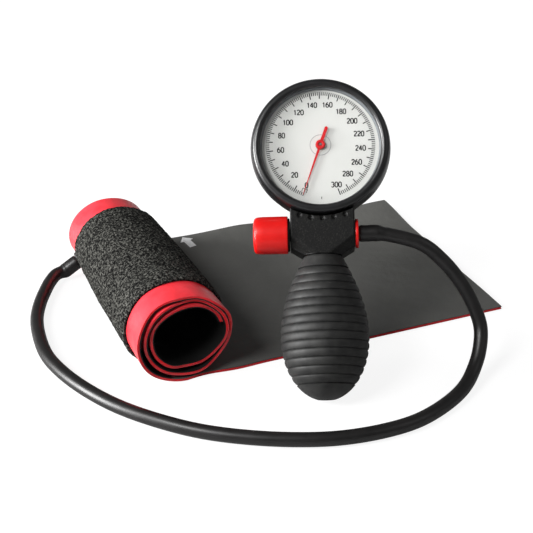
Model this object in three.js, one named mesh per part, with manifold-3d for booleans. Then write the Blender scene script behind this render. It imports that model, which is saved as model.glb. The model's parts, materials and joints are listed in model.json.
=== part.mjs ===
// Palm blood pressure monitor: a dial gauge on a valve neck with a ribbed rubber bulb, one hose
// and an arm cuff that lies half rolled up. Millimetres, +Z up, the cuff's flat side lies on Z = 0.

import * as THREE from 'three';
import { mergeVertices } from 'three/addons/utils/BufferGeometryUtils.js';
import Module from 'manifold-3d';

const wasm = await Module();
wasm.setup();

// Fits: the gap between touching pieces, and the sides used for large and small round pieces
const fit = 0.3;
const largeSides = 40;
const bulbSides = 26;
const mediumSides = 24;
const capsuleSides = 16;
const smallSides = 12;
const wireSides = 8;

// How far a cutting tool reaches past the face that it opens
const past = 1;

// Cuff
const cuffWidth = 140;
const cuffTail = 183.1;
const cuffTailEnd = 99.9;
const cuffCentreY = -25.5;
const rollFrontRadius = 24.7;
const rollBackRadius = 21.2;
const rollSteps = 65;
const stepsPerTurn = 24;
const rollSlack = 1.8;
const slackAngle = 45;
const clothThickness = 0.4;
const bladderThickness = 0.4;
const bladderMargin = 14;
const bladderInTail = 82;
const bladderEndAngle = 300;
const fleeceThickness = 1.5;
const fleeceStartAngle = 30;
const fleeceEndAngle = 330;
const edgeBand = 18;
const hookThickness = 1;
const hookTapeLength = 70;

// Cuff port and hose
const portAngle = 60;
const portFromEdge = 12.6;
const portFlangeRadius = 5;
const portFlangeThickness = 1.5;
const portStemRadius = 2.5;
const hoseRadius = 3.55;
const nippleRadius = 2.2;
const nippleLength = 9;
const airBoreRadius = 1.2;
const barbRidge = 0.35;
const hoseSteps = 48;

// Pose of the gauge, neck and bulb: turned about Z, leaning back and rolled about the face
const handsetX = -3.77;
const handsetY = -77.76;
const handsetTurn = -25.54;
const handsetLean = 37.68;
const handsetRoll = 2.61;

// Gauge, measured along its own axis from the bezel's inner lip; the dial's radius drives the rest
const dialRadius = 31.3;
const dialThickness = 0.6;
const dialDepth = 4;
const dialHoleRadius = 2.5;
const dialBorder = 1.4;
const lensFront = 0.9;
const lensThickness = 1;
const lensBorder = 1.7;
const bezelWall = 2;
const bezelDepth = 9.7;
const bezelLip = 1.3;
const housingWall = 2.4;
const housingTaper = 1.9;
const housingRounding = 7.2;
const dialLedge = 1.5;
const gasketThickness = 1.4;

// Pointer and movement, whose axis lies a little above the bezel's centre
const axisRise = 1;
const pointerHubRadius = 2.4;
const pointerThickness = 0.5;
const pointerMargin = 3;
const pointerTail = 9.7;
const pointerTailWidth = 1.65;
const zeroAngle = 250;
const arborRadius = 0.6;
const pivotPlay = 0.3;
const toothModule = 0.35;
const pinionTeeth = 8;
const sectorFullTeeth = 96;
const sectorTravel = 320 / 12;
const sectorAngle = -39.64;
const gearThickness = 1.2;
const plateMargin = 8.8;
const plateThickness = 1;
const platePillarRadius = 1.3;
const pillarInset = 2.5;
const pillarAngles = [90, 210, 330];
const windowAngles = [30, 150];
const windowRadius = 6;
const windowInset = 9.5;
const frontPlateDepth = 8;
const rearPlateDepth = 15;
const capsuleRadius = 15;
const capsuleFrontDepth = 21.4;
const capsuleWall = 0.35;
const capsuleHole = 1.6;
const corrugationSteps = 6;
const corrugationHeight = 0.7;
const corrugationFoot = 0.2;
const capsuleBaseRadius = 4.5;
const capsuleBaseThickness = 3;
const pipeRun = 19.6;
const pipeBend = 10.6;
const pipeDrop = 4.2;
const rockerRadius = 0.8;
const rockerDepth = 19.3;
const hairspringTurns = 3;
const hairspringInner = 1.5;
const hairspringOuter = 5.6;
const hairspringDepth = 13.6;
const hairspringWire = 0.18;

// Neck and air valve
const neckHalfWidth = 15.9;
const neckFootHalf = 9.2;
const neckFront = 0.5;
const neckBack = 20.5;
const neckLength = 19.6;
const neckSlant = 4;
const neckShoulderHeight = 9.3;
const facetDepth = 6.5;
const facetReach = 9;
const bulbDepth = 8;
const airAxisHeight = 11;
const stemDepth = 14;
const stemRadius = 3.5;
const dimpleRadius = 1.1;
const dimplePitch = 8.9;
const dimpleDrop = 1.75;
const dimpleCount = 5;
const manifoldArmRadius = 4.2;
const manifoldEnd = 14.9;
const screwRadius = 1.1;
const screwHeadRadius = 2.4;
const screwX = 10.2;
const screwHeight = 4.6;
const screwHeadSink = 2;
const knobLength = 18.4;
const knobRadius = 9.35;
const knobWall = 1.8;
const collarRadius = 8.3;
const collarThickness = 0.9;
const sleeveRadius = 5.4;
const sleeveLength = 7;
const needleRadius = 1.5;
const seatBore = 0.7;
const sealRadius = 0.45;
const ringRadius = 7.3;
const ringThickness = 1.5;

// Bulb
const bulbRadius = 21.8;
const bulbLength = 71.1;
const bulbShoulder = 40.2;
const bulbTaperLength = 56.3;
const bulbMouthRadius = 5;
const bulbMouthLength = 8;
const bulbInletRadius = 4.2;
const inletDepth = 8.5;
const bulbWall = 2.2;
const ribCount = 14;
const bulbCollar = 6.3;
const bulbSocketDepth = 6.9;
const insertDepth = 11;
const ribPitch = 4.07;
const ribDepth = 0.75;
const flapRadius = 2.4;
const flapThickness = 0.6;

const cuffThickness = 2 * clothThickness + bladderThickness + 2 * fit;
const rollPitch = cuffThickness + fit;
const rollX = cuffTailEnd - cuffTail;
const glassRadius = dialRadius - dialBorder;
const lensRadius = dialRadius + lensBorder;
const bezelRadius = lensRadius + bezelWall;
const housingRadius = bezelRadius - fit;
const pointerReach = glassRadius - pointerMargin;
const plateRadius = housingRadius - housingWall - plateMargin;
const pillarCircle = plateRadius - pillarInset;
const windowCircle = plateRadius - windowInset;
const dimpleCircle = bezelRadius + dimpleDrop;
const neckBottom = -bezelRadius - neckLength;
const neckCorner = neckBottom + neckSlant;
const neckShoulder = neckBottom + neckShoulderHeight;
const airAxisZ = neckBottom + airAxisHeight;
const screwZ = neckBottom + screwHeight;
const bulbTop = neckBottom - fit;
const bulbWidest = bulbTop - bulbShoulder;
const bulbEnd = bulbTop - bulbLength;
const ribStart = bulbTop - bulbCollar;
const cuffFrontY = cuffCentreY - cuffWidth / 2;
const cuffBackY = cuffCentreY + cuffWidth / 2;
const portY = cuffBackY - portFromEdge;
const radians = THREE.MathUtils.degToRad;

const monitor = new THREE.Group();
const handset = new THREE.Group();
monitor.add(handset);

const paint = {
  redLaminate: { color: 0xe0303c, roughness: 0.42, metalness: 0 },
  greyLining: { color: 0x464644, roughness: 0.62, metalness: 0 },
  charcoalFleece: { color: 0x2e2e2c, roughness: 1, metalness: 0 },
  hookTape: { color: 0x202020, roughness: 0.9, metalness: 0 },
  blackRubber: { color: 0x1a1a1a, roughness: 0.6, metalness: 0 },
  bladderRubber: { color: 0x3a3a3a, roughness: 0.7, metalness: 0 },
  blackPlastic: { color: 0x1f1f1f, roughness: 0.55, metalness: 0 },
  redPlastic: { color: 0xe4241c, roughness: 0.35, metalness: 0 },
  bezelPaint: { color: 0x161616, roughness: 0.4, metalness: 0.3 },
  glass: { color: 0xf4f8f8, roughness: 0.03, metalness: 0, transparent: true, opacity: 0.2 },
  dialPaint: { color: 0xeae9e2, roughness: 0.5, metalness: 0 },
  pointerPaint: { color: 0xd8232a, roughness: 0.4, metalness: 0 },
  brass: { color: 0xb8964e, roughness: 0.35, metalness: 1 },
  steel: { color: 0x9a9c9e, roughness: 0.3, metalness: 1 },
  silicone: { color: 0xc8c0b4, roughness: 0.6, metalness: 0 },
};

// Add a closed piece to a group under its name
function add(group, name, geometry, finish) {
  const mesh = new THREE.Mesh(facingOut(geometry), new THREE.MeshStandardMaterial(paint[finish]));
  mesh.name = name;
  group.add(mesh);
  return mesh;
}

// Join a geometry's equal corners and drop faces with no area
function welded(geometry) {
  const bare = geometry.index ? geometry.toNonIndexed() : geometry.clone();
  for (const attribute of Object.keys(bare.attributes)) {
    if (attribute !== 'position') bare.deleteAttribute(attribute);
  }
  const merged = mergeVertices(bare, 1e-4);
  const corners = merged.index.array;
  const kept = [];
  for (let i = 0; i < corners.length; i += 3) {
    const [a, b, c] = [corners[i], corners[i + 1], corners[i + 2]];
    if (a !== b && b !== c && c !== a) kept.push(a, b, c);
  }
  merged.setIndex(kept);
  return merged;
}

// Turn a closed geometry's faces outwards, going by its signed volume
function facingOut(geometry) {
  const closed = welded(geometry);
  const p = closed.attributes.position;
  const index = Array.from(closed.index.array);
  const [a, b, c] = [new THREE.Vector3(), new THREE.Vector3(), new THREE.Vector3()];
  let volume = 0;
  for (let i = 0; i < index.length; i += 3) {
    a.fromBufferAttribute(p, index[i]);
    b.fromBufferAttribute(p, index[i + 1]);
    c.fromBufferAttribute(p, index[i + 2]);
    volume += a.dot(b.cross(c));
  }
  if (volume < 0) index.reverse();
  closed.setIndex(index);
  return closed;
}

function solidOf(geometry) {
  const closed = facingOut(geometry);
  const vertProperties = new Float32Array(closed.attributes.position.array);
  const triVerts = new Uint32Array(closed.index.array);
  return new wasm.Manifold(new wasm.Mesh({ numProp: 3, vertProperties, triVerts }));
}

function geometryOf(solid) {
  const { vertProperties, triVerts, numProp } = solid.getMesh();
  const positions = new Float32Array((vertProperties.length / numProp) * 3);
  for (let i = 0; i < positions.length / 3; i += 1) {
    positions.set(vertProperties.slice(i * numProp, i * numProp + 3), i * 3);
  }
  const geometry = new THREE.BufferGeometry();
  geometry.setAttribute('position', new THREE.BufferAttribute(positions, 3));
  geometry.setIndex(Array.from(triVerts));
  return geometry;
}

function cut(body, ...tools) {
  return geometryOf(tools.reduce((left, tool) => left.subtract(solidOf(tool)), solidOf(body)));
}

function join(first, ...others) {
  return geometryOf(others.reduce((sum, other) => sum.add(solidOf(other)), solidOf(first)));
}

function overlap(a, b) {
  return geometryOf(solidOf(a).intersect(solidOf(b)));
}

// Revolve [radius, height] points about Y, then lay that axis along the wanted one
function turned(points, sides, axis = 'y') {
  const shape = new THREE.LatheGeometry(points.map(([r, h]) => new THREE.Vector2(r, h)), sides);
  if (axis === 'z') shape.rotateX(Math.PI / 2);
  if (axis === 'x') shape.rotateZ(-Math.PI / 2);
  return shape;
}

// A ring or tube between two radii and two heights; an inner radius of 0 makes a solid disc
function ring(inner, outer, low, high, sides, axis = 'y') {
  const wall = [[inner, low], [outer, low], [outer, high], [inner, high]];
  return turned(inner > 0 ? [...wall, wall[0]] : wall, sides, axis);
}

function rod(radius, low, high, sides, axis) {
  return ring(0, radius, low, high, sides, axis);
}

function rodUp(radius, from, to, depth) {
  return rod(radius, from, to, smallSides, 'z').translate(0, depth, 0);
}

function block(x0, x1, y0, y1, z0, z1) {
  const box = new THREE.BoxGeometry(x1 - x0, y1 - y0, z1 - z0);
  return box.translate((x0 + x1) / 2, (y0 + y1) / 2, (z0 + z1) / 2);
}

// A flat plate: an outline in X and Z, from one depth in Y to another
function plate(shape, y0, y1) {
  const flat = new THREE.ExtrudeGeometry(shape, { depth: y1 - y0, bevelEnabled: false, curveSegments: 8 });
  return flat.rotateX(Math.PI / 2).translate(0, y1, 0);
}

const outline = (points) => new THREE.Shape(points.map(([x, z]) => new THREE.Vector2(x, z)));

// A tube of one radius along a curve
function tube(curve, radius, sides, steps) {
  const section = new THREE.Shape();
  for (let i = 0; i < sides; i += 1) {
    const angle = (2 * Math.PI * i) / sides;
    const point = [radius * Math.cos(angle), radius * Math.sin(angle)];
    if (i === 0) section.moveTo(...point);
    else section.lineTo(...point);
  }
  section.closePath();
  return new THREE.ExtrudeGeometry(section, { steps, extrudePath: curve, bevelEnabled: false });
}

// Cuff: a strip that leaves the ground flat and winds inwards. Its place is a station in steps
// round the roll, counted from where the flat tail meets the roll, and an inset from the outside.
const stepAngle = (2 * Math.PI) / stepsPerTurn;

// The roll narrows towards the back edge, and its turns lie further apart on the slack side
function rollRadiusAt(y) {
  return THREE.MathUtils.mapLinear(y, cuffFrontY, cuffBackY, rollFrontRadius, rollBackRadius);
}

function rollPoint(angle, inset, y) {
  const turns = (angle - Math.sin(angle)) / (2 * Math.PI);
  const slack = (rollSlack * (1 + Math.cos(angle - radians(slackAngle)))) / 2;
  const radius = rollRadiusAt(y) - inset - turns * (rollPitch + slack);
  return [rollX - radius * Math.sin(angle), rollRadiusAt(y) - radius * Math.cos(angle)];
}

// A sheet of the cuff between two insets, from a place in the tail or on the roll to a step
function wound(tailLength, startStep, endStep, insetOut, insetIn) {
  const line = (inset, y) => {
    const points = tailLength > 0 ? [[rollX + tailLength, inset]] : [];
    for (let i = startStep; i <= endStep; i += 1) points.push(rollPoint(i * stepAngle, inset, y));
    return points;
  };
  return (y) => [...line(insetOut, y), ...line(insetIn, y).reverse()];
}

// Stretch a sheet from its line near the cuff's front edge to its line near the back edge
function acrossCuff(lineAt, margin) {
  const [front, back] = [cuffFrontY + margin, cuffBackY - margin];
  const [from, to] = [lineAt(front), lineAt(back)];
  const sheet = plate(outline(from), front, back);
  const p = sheet.attributes.position;
  for (let i = 0; i < p.count; i += 1) {
    if (p.getY(i) < back - fit) continue;
    const away = from.map(([x, z]) => Math.hypot(x - p.getX(i), z - p.getZ(i)));
    const [x, z] = to[away.indexOf(Math.min(...away))];
    p.setXYZ(i, x, back, z);
  }
  return sheet;
}

const stepsTo = (degrees) => Math.round((degrees / 360) * stepsPerTurn);
const bladderInset = clothThickness + fit;
const liningInset = bladderInset + bladderThickness + fit;

function outerLayer() {
  const sheet = acrossCuff(wound(cuffTail, 0, rollSteps, 0, clothThickness), 0);
  return cut(sheet, onPort(rod(portStemRadius + fit, -2 * fit - clothThickness, 2, smallSides)));
}

function hookTape() {
  const innerRadius = rollFrontRadius - (rollPitch + rollSlack / 2) * (rollSteps / stepsPerTurn);
  const steps = Math.round(hookTapeLength / (innerRadius * stepAngle));
  const inset = cuffThickness + fit;
  return acrossCuff(wound(0, rollSteps - steps, rollSteps, inset, inset + hookThickness), edgeBand);
}

// The port's own axis is Y, pointing out of the roll, with 0 on the cuff's outer face
function onPort(geometry) {
  const [x, z] = rollPoint(radians(portAngle), 0, portY);
  geometry.rotateZ(Math.PI / 2);
  geometry.rotateY(-radians(90 - portAngle));
  return geometry.translate(x, portY, z);
}

function cuffPort() {
  const top = portFlangeThickness + fit;
  const tip = top + nippleLength;
  const body = turned([
    [0, -2], [portFlangeRadius, -2], [portFlangeRadius, top - 0.5], [portFlangeRadius - 0.7, top],
    [nippleRadius + 0.4, top], [nippleRadius, top + 1], [nippleRadius, tip - 4],
    [nippleRadius + barbRidge, tip - 3.8], [nippleRadius, tip - 1], [nippleRadius - 0.3, tip], [0, tip],
  ], mediumSides - 8);
  const stem = rod(portStemRadius, -clothThickness, 0.5, smallSides);
  const bore = rod(airBoreRadius, -3, tip + 1, smallSides);
  const roll = (y) => [...Array(stepsTo(120) + 1).keys()].map((i) => rollPoint(i * stepAngle, -fit, y))
    .concat([[rollX, rollRadiusAt(y)]]);
  return cut(join(cut(onPort(body), acrossCuff(roll, 0)), onPort(stem)), onPort(bore));
}

add(monitor, 'cuff_outer_layer', outerLayer(), 'redLaminate');
add(monitor, 'cuff_inner_layer',
  acrossCuff(wound(cuffTail, 0, rollSteps, liningInset, liningInset + clothThickness), 0), 'greyLining');
add(monitor, 'cuff_bladder', acrossCuff(
  wound(bladderInTail, 0, stepsTo(bladderEndAngle), bladderInset, bladderInset + bladderThickness),
  bladderMargin), 'bladderRubber');
add(monitor, 'loop_patch', acrossCuff(
  wound(0, stepsTo(fleeceStartAngle), stepsTo(fleeceEndAngle), -fit - fleeceThickness, -fit), edgeBand),
'charcoalFleece');
add(monitor, 'hook_patch', hookTape(), 'hookTape');
add(monitor, 'cuff_port', cuffPort(), 'blackRubber');

// Gauge: pieces turned about the gauge's own axis, which is the handset's Y
function bezel() {
  return turned([
    [glassRadius, 0], [glassRadius + 0.5, -0.8], [glassRadius + 1.6, -bezelLip], [glassRadius + 2.7, -1],
    [bezelRadius - 0.9, 0.6], [bezelRadius - 0.25, 3], [bezelRadius, 6], [bezelRadius, bezelDepth - 0.4],
    [bezelRadius - 0.4, bezelDepth], [lensRadius + fit, bezelDepth], [lensRadius + fit, lipBack],
    [glassRadius, lipBack], [glassRadius, 0],
  ], largeSides);
}

const lensBack = lensFront + lensThickness;
const lipBack = lensFront - fit;
const spacerFront = lensBack + fit;

// The capsule's stack sets how deep the housing is
const capsuleRimDepth = capsuleFrontDepth + 0.4 + corrugationHeight;
const capsuleRearDepth = capsuleRimDepth + capsuleWall + fit;
const capsuleBaseDepth = capsuleRearDepth + corrugationHeight + capsuleWall + fit;
const floorDepth = capsuleBaseDepth + capsuleBaseThickness + fit;
const housingDepth = floorDepth + housingWall;
const stemTop = 4.6 - housingRadius;
const stemRoom = 1.6;
const stemFoot = airAxisZ + 2.4;

function housing() {
  const dialSeat = dialDepth + dialThickness + fit;
  const mouth = spacerFront + gasketThickness + fit;
  const ledgeRadius = dialRadius - 1.7;
  const inner = housingRadius - housingWall;
  const outside = [
    [lensRadius - 0.1, mouth], [lensRadius - 0.1, bezelDepth + fit], [housingRadius, bezelDepth + fit],
    ...backCorner(housingRadius - housingTaper, housingDepth, housingRounding), [0, housingDepth],
  ];
  const inside = [
    [0, floorDepth],
    ...backCorner(inner - housingTaper, floorDepth, housingRounding - housingWall).reverse(),
    [inner, dialSeat + dialLedge], [ledgeRadius, dialSeat + dialLedge], [ledgeRadius, dialSeat],
    [dialRadius + fit, dialSeat], [dialRadius + fit, mouth],
  ];
  const shell = turned([...inside, ...outside], largeSides);
  const bosses = pillarAngles.map((angle) => {
    const top = rearPlateDepth + plateThickness + fit;
    return rod(platePillarRadius + 0.9, top, floorDepth + past, smallSides).translate(...pillarPlace(angle));
  });
  const stemHole = rodUp(stemRadius + fit, -housingRadius - past, stemTop + stemRoom, stemDepth);
  return cut(join(shell, ...bosses), stemHole);
}

// The rounded edge between the side and the back: a quarter circle in four points
function backCorner(radius, back, rounding) {
  return [0, 30, 60, 90].map((angle) => [
    radius - rounding * (1 - Math.cos(radians(angle))),
    back - rounding * (1 - Math.sin(radians(angle))),
  ]);
}

function pillarPlace(angle) {
  return [pillarCircle * Math.cos(radians(angle)), 0, pillarCircle * Math.sin(radians(angle)) + axisRise];
}

add(handset, 'gauge_housing', housing(), 'blackPlastic');
add(handset, 'bezel_ring', bezel(), 'bezelPaint');
add(handset, 'lens', rod(lensRadius, lensFront, lensBack, mediumSides), 'glass');
add(handset, 'lens_gasket', ring(dialRadius + 2 * fit, lensRadius - 0.1, spacerFront,
  spacerFront + gasketThickness, mediumSides), 'blackRubber');
add(handset, 'dial_spacer', turned([
  [glassRadius, spacerFront], [dialRadius, spacerFront], [dialRadius, dialDepth - fit],
  [glassRadius - 0.8, dialDepth - fit], [glassRadius, spacerFront],
], mediumSides), 'dialPaint');
add(handset, 'dial_plate', cut(
  rod(dialRadius, dialDepth, dialDepth + dialThickness, mediumSides),
  rod(dialHoleRadius, dialDepth - past, dialDepth + past, mediumSides).translate(0, 0, axisRise),
), 'dialPaint');

// Pointer: a round hub with a thin tapering needle and a short tail with a round end
const pointerDepth = dialDepth - 1.3;
const hubRim = 0.4;

function pointer() {
  const direction = radians(zeroAngle);
  const along = new THREE.Vector2(Math.cos(direction), Math.sin(direction));
  const across = new THREE.Vector2(-along.y, along.x);
  const place = (a, b) => new THREE.Vector2(along.x * a + across.x * b, along.y * a + across.y * b);
  const half = pointerTailWidth / 2;
  const points = [place(pointerReach, 0.08), place(1, 0.9)];
  for (let i = 0; i <= 6; i += 1) {
    const angle = (Math.PI * i) / 6;
    points.push(place(half - pointerTail - half * Math.sin(angle), half * Math.cos(angle)));
  }
  points.push(place(1, -0.9), place(pointerReach, -0.08));
  const needle = plate(new THREE.Shape(points), pointerDepth, pointerDepth + pointerThickness);
  const hub = rod(pointerHubRadius, pointerDepth - hubRim, pointerDepth + pointerThickness + 0.3, 24);
  return cut(join(needle, hub), rod(arborRadius + pivotPlay, 0, dialDepth, smallSides));
}

// A gear's outline: straight-sided teeth about a centre, from one tooth number to another
function toothPoints(radius, pitchAngle, first, last, shift, height) {
  const points = [];
  for (let tooth = first; tooth <= last; tooth += 1) {
    const centre = shift + tooth * pitchAngle;
    for (const [dr, share] of [[-height, -0.23], [height, -0.1], [height, 0.1], [-height, 0.23]]) {
      points.push([radius + dr, centre + share * pitchAngle]);
    }
  }
  return points;
}

const pinionRadius = (toothModule * pinionTeeth) / 2;
const sectorRadius = (toothModule * sectorFullTeeth) / 2;
const toothHeight = 0.8 * toothModule;
const gearDistance = pinionRadius + sectorRadius;
const sectorX = gearDistance * Math.cos(radians(sectorAngle));
const sectorZ = gearDistance * Math.sin(radians(sectorAngle));
const gearDepth = frontPlateDepth + plateThickness + 2;
const sectorShaftRadius = 0.7;
const tailPinArm = 2.17;
const tailPinRadius = 0.5;

function arborWithPinion() {
  const points = toothPoints(pinionRadius, 360 / pinionTeeth, 0, pinionTeeth - 1, sectorAngle, toothHeight)
    .map(([r, angle]) => [r * Math.cos(radians(angle)), r * Math.sin(radians(angle))]);
  const leaves = plate(outline(points), gearDepth - 0.4, gearDepth + gearThickness + 0.4);
  return join(leaves, rod(arborRadius, pointerDepth - hubRim, rearPlateDepth + 0.7, smallSides));
}

function sectorGear() {
  const toPinion = sectorAngle + 180;
  const pitchAngle = 360 / sectorFullTeeth;
  const last = 1;
  const first = -Math.ceil(sectorTravel / pitchAngle) - 2;
  const teeth = toothPoints(sectorRadius, pitchAngle, first, last, toPinion + pitchAngle / 2, toothHeight);
  const rim = sectorRadius - toothHeight - 1.6;
  const ends = [teeth[teeth.length - 1][1], teeth[0][1]];
  const polar = ([r, angle]) => [
    sectorX + r * Math.cos(radians(angle)), sectorZ + r * Math.sin(radians(angle)),
  ];
  const rimSteps = 6;
  const inner = [...Array(rimSteps + 1).keys()]
    .map((i) => [rim, THREE.MathUtils.lerp(ends[0], ends[1], i / rimSteps)]);
  const arc = plate(outline([...teeth, ...inner].map(polar)), gearDepth, gearDepth + gearThickness);
  const middle = (ends[0] + ends[1]) / 2;
  const spokes = [0.25, 0.75].map((share) => {
    const angle = THREE.MathUtils.lerp(ends[0], ends[1], share);
    const corners = [[rim + 0.5, angle - 1.6], [rim + 0.5, angle + 1.6], [1, middle + 60], [1, middle - 60]];
    return plate(outline(corners.map(polar)), gearDepth, gearDepth + gearThickness);
  });
  const at = (geometry) => geometry.translate(sectorX, 0, sectorZ);
  const hub = at(rod(1.9, gearDepth, gearDepth + gearThickness, smallSides));
  const tail = plate(outline([
    [sectorX, sectorZ - 0.8], [sectorX - tailPinArm - 0.8, sectorZ - 0.6],
    [sectorX - tailPinArm - 0.8, sectorZ + 0.6], [sectorX, sectorZ + 0.8],
  ]), gearDepth, gearDepth + gearThickness);
  const pin = rod(tailPinRadius, gearDepth, rearPlateDepth - 0.4, wireSides)
    .translate(sectorX - tailPinArm, 0, sectorZ);
  const shaft = at(rod(sectorShaftRadius, frontPlateDepth + 0.1, rearPlateDepth + 0.9, smallSides));
  return join(arc, ...spokes, hub, tail, pin, shaft);
}

// The movement's two round plates, with their pivot holes, windows and the rocker's slot and ears
const rockerZ = sectorZ;
const rockerArmX = sectorX - tailPinArm;
const earThickness = 1.2;
const rockerLeft = -3.5;
const rockerRight = 9.4;

function movementPlate(depth, extras) {
  const disc = rod(plateRadius, depth, depth + plateThickness, mediumSides);
  const through = (radius, x, z) => rod(radius, depth - past, depth + plateThickness + past, smallSides)
    .translate(x, 0, z);
  const windows = windowAngles.map((angle) => through(windowRadius,
    windowCircle * Math.cos(radians(angle)), windowCircle * Math.sin(radians(angle))));
  const pivots = [
    through(arborRadius + pivotPlay, 0, 0),
    through(sectorShaftRadius + pivotPlay, sectorX, sectorZ),
  ];
  return cut(disc, ...windows, ...pivots, ...extras);
}

function rearPlate() {
  const slot = block(rockerArmX - 1.1, rockerArmX + 1.1, rearPlateDepth - 1, rearPlateDepth + 2,
    rockerZ - 1.2, rockerZ + 2.4);
  const back = rearPlateDepth + plateThickness;
  const ears = [rockerLeft, rockerRight].map((x) => block(x - earThickness / 2, x + earThickness / 2,
    back - 0.2, rockerDepth + 1.7, rockerZ - 1.9, rockerZ + 1.9));
  const shaftHole = rod(rockerRadius + pivotPlay, rockerLeft - 2, rockerRight + 2, smallSides, 'x')
    .translate(0, rockerDepth, rockerZ);
  return cut(join(movementPlate(rearPlateDepth, [slot]), ...ears), shaftHole);
}

// Rocking shaft: one arm rests on the capsule's stud, the other pushes the sector's tail pin
function rocker() {
  const shaft = rod(rockerRadius, rockerLeft - 0.8, rockerArmX + 0.5, smallSides, 'x')
    .translate(0, rockerDepth, rockerZ);
  const studArm = block(-1.1, 1.1, rockerDepth - 0.4, rockerDepth + 0.4, rockerZ, 1.4);
  const pushZ = rockerZ + tailPinRadius + fit;
  const pushArm = block(rockerArmX - 0.6, rockerArmX + 0.6, gearDepth + gearThickness + 0.5, rockerDepth,
    pushZ, pushZ + 0.9);
  const web = block(rockerArmX - 0.6, rockerArmX + 0.6, rockerDepth - 0.7, rockerDepth + 0.4,
    rockerZ, pushZ + 0.9);
  return join(shaft, studArm, pushArm, web);
}

function hairspring() {
  class Spiral extends THREE.Curve {
    getPoint(t, target = new THREE.Vector3()) {
      const angle = 2 * Math.PI * hairspringTurns * t;
      const radius = THREE.MathUtils.lerp(hairspringInner, hairspringOuter, t);
      return target.set(radius * Math.cos(angle), hairspringDepth, radius * Math.sin(angle));
    }
  }
  const least = (hairspringOuter - hairspringInner) / hairspringTurns - 2 * hairspringWire;
  console.log(`hairspring: least gap between turns ${least.toFixed(2)} mm`);
  return tube(new Spiral(), hairspringWire, 4, 20 * hairspringTurns);
}

// Pressure capsule: two corrugated discs, a base on the housing's floor and a stud in front
function corrugated(rimDepth, sign) {
  const front = [];
  for (let i = 0; i <= corrugationSteps; i += 1) {
    const r = THREE.MathUtils.lerp(capsuleHole, capsuleRadius, i / corrugationSteps);
    const crest = i % 2 === 0 ? corrugationHeight : corrugationFoot;
    front.push([r, rimDepth - sign * (i === corrugationSteps ? 0 : crest)]);
  }
  const back = front.map(([r, y]) => [r, y + capsuleWall]).reverse();
  return turned([...front, ...back, front[0]], capsuleSides);
}

const movement = new THREE.Group();
movement.position.z = axisRise;
handset.add(movement);

add(movement, 'pointer', pointer(), 'pointerPaint');
add(movement, 'pointer_arbor', arborWithPinion(), 'steel');
add(movement, 'sector_gear', sectorGear(), 'brass');
add(movement, 'movement_plate_front', movementPlate(frontPlateDepth, []), 'brass');
add(movement, 'movement_plate_rear', rearPlate(), 'brass');
pillarAngles.forEach((angle, i) => {
  const top = frontPlateDepth + plateThickness + fit;
  const pillar = rod(platePillarRadius, top, rearPlateDepth - fit, smallSides);
  add(handset, `movement_pillar_${i + 1}`, pillar.translate(...pillarPlace(angle)), 'brass');
});
add(movement, 'hairspring', hairspring(), 'steel');
add(movement, 'rocking_shaft', rocker(), 'steel');
add(movement, 'capsule_stud',
  rod(1.2, rockerDepth + 0.4 + fit, capsuleFrontDepth - fit, smallSides), 'steel');
add(movement, 'capsule_front', corrugated(capsuleRimDepth, 1), 'brass');
add(movement, 'capsule_rear', corrugated(capsuleRearDepth, -1), 'brass');
add(movement, 'capsule_base',
  ring(airBoreRadius, capsuleBaseRadius, capsuleBaseDepth, floorDepth - fit, smallSides), 'brass');

// Pressure pipe from the capsule's base round to the stem that enters the neck
const pipeRadius = 1.1;

function pressurePipe() {
  const baseY = (capsuleBaseDepth + floorDepth - fit) / 2;
  const curve = new THREE.CatmullRomCurve3([
    new THREE.Vector3(0, baseY, axisRise - capsuleBaseRadius - fit),
    new THREE.Vector3(0, baseY, stemTop + pipeRun),
    new THREE.Vector3(0, baseY - 2.5, stemTop + pipeBend),
    new THREE.Vector3(0, stemDepth + 3, stemTop + pipeDrop),
    new THREE.Vector3(0, stemDepth, stemTop + stemRoom), new THREE.Vector3(0, stemDepth, stemTop + fit),
  ]);
  return tube(curve, pipeRadius, wireSides, 14);
}

function gaugeStem() {
  return turned([
    [airBoreRadius, stemFoot], [stemRadius - 0.4, stemFoot], [stemRadius, stemFoot + 0.6],
    [stemRadius, stemTop - 1.2], [stemRadius - 0.8, stemTop], [airBoreRadius, stemTop],
    [airBoreRadius, stemFoot],
  ], smallSides, 'z').translate(0, stemDepth, 0);
}

add(handset, 'pressure_pipe', pressurePipe(), 'steel');
add(handset, 'gauge_stem', gaugeStem(), 'brass');

// Air manifold: arms to the valve, the hose, the gauge and the bulb, all bored through
const valveSocketRadius = 3.5;
const valveSocketEnd = -8;
const hoseSocketRadius = 3;
const hoseSocketEnd = 9;
const stemSocketTop = -bezelRadius - 2.6;
const bulbSocketRadius = 3.3;
const bulbSocketTop = neckBottom + bulbSocketDepth;
const manifoldFoot = neckBottom + fit;

const onAirAxis = (geometry) => geometry.translate(0, bulbDepth, airAxisZ);
const rodAcross = (radius, from, to) => onAirAxis(rod(radius, from, to, smallSides, 'x'));

// The manifold's outside, or with extra and reach the room that it needs in the neck
function manifoldShape(extra, reach) {
  const end = manifoldEnd + reach;
  const arm = rodAcross(manifoldArmRadius + extra, -end, end);
  const foot = rodUp(manifoldArmRadius + 0.4 + extra, manifoldFoot - reach, airAxisZ, bulbDepth);
  const collar = rodUp(stemRadius + 1.2 + extra, airAxisZ, stemSocketTop + extra, stemDepth - 0.5);
  const core = block(-5 - extra, 5 + extra, bulbDepth - 4 - extra, stemDepth + 4.2 + extra,
    airAxisZ - 4 - extra, airAxisZ + 2 + extra);
  return join(arm, foot, collar, core);
}

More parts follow.
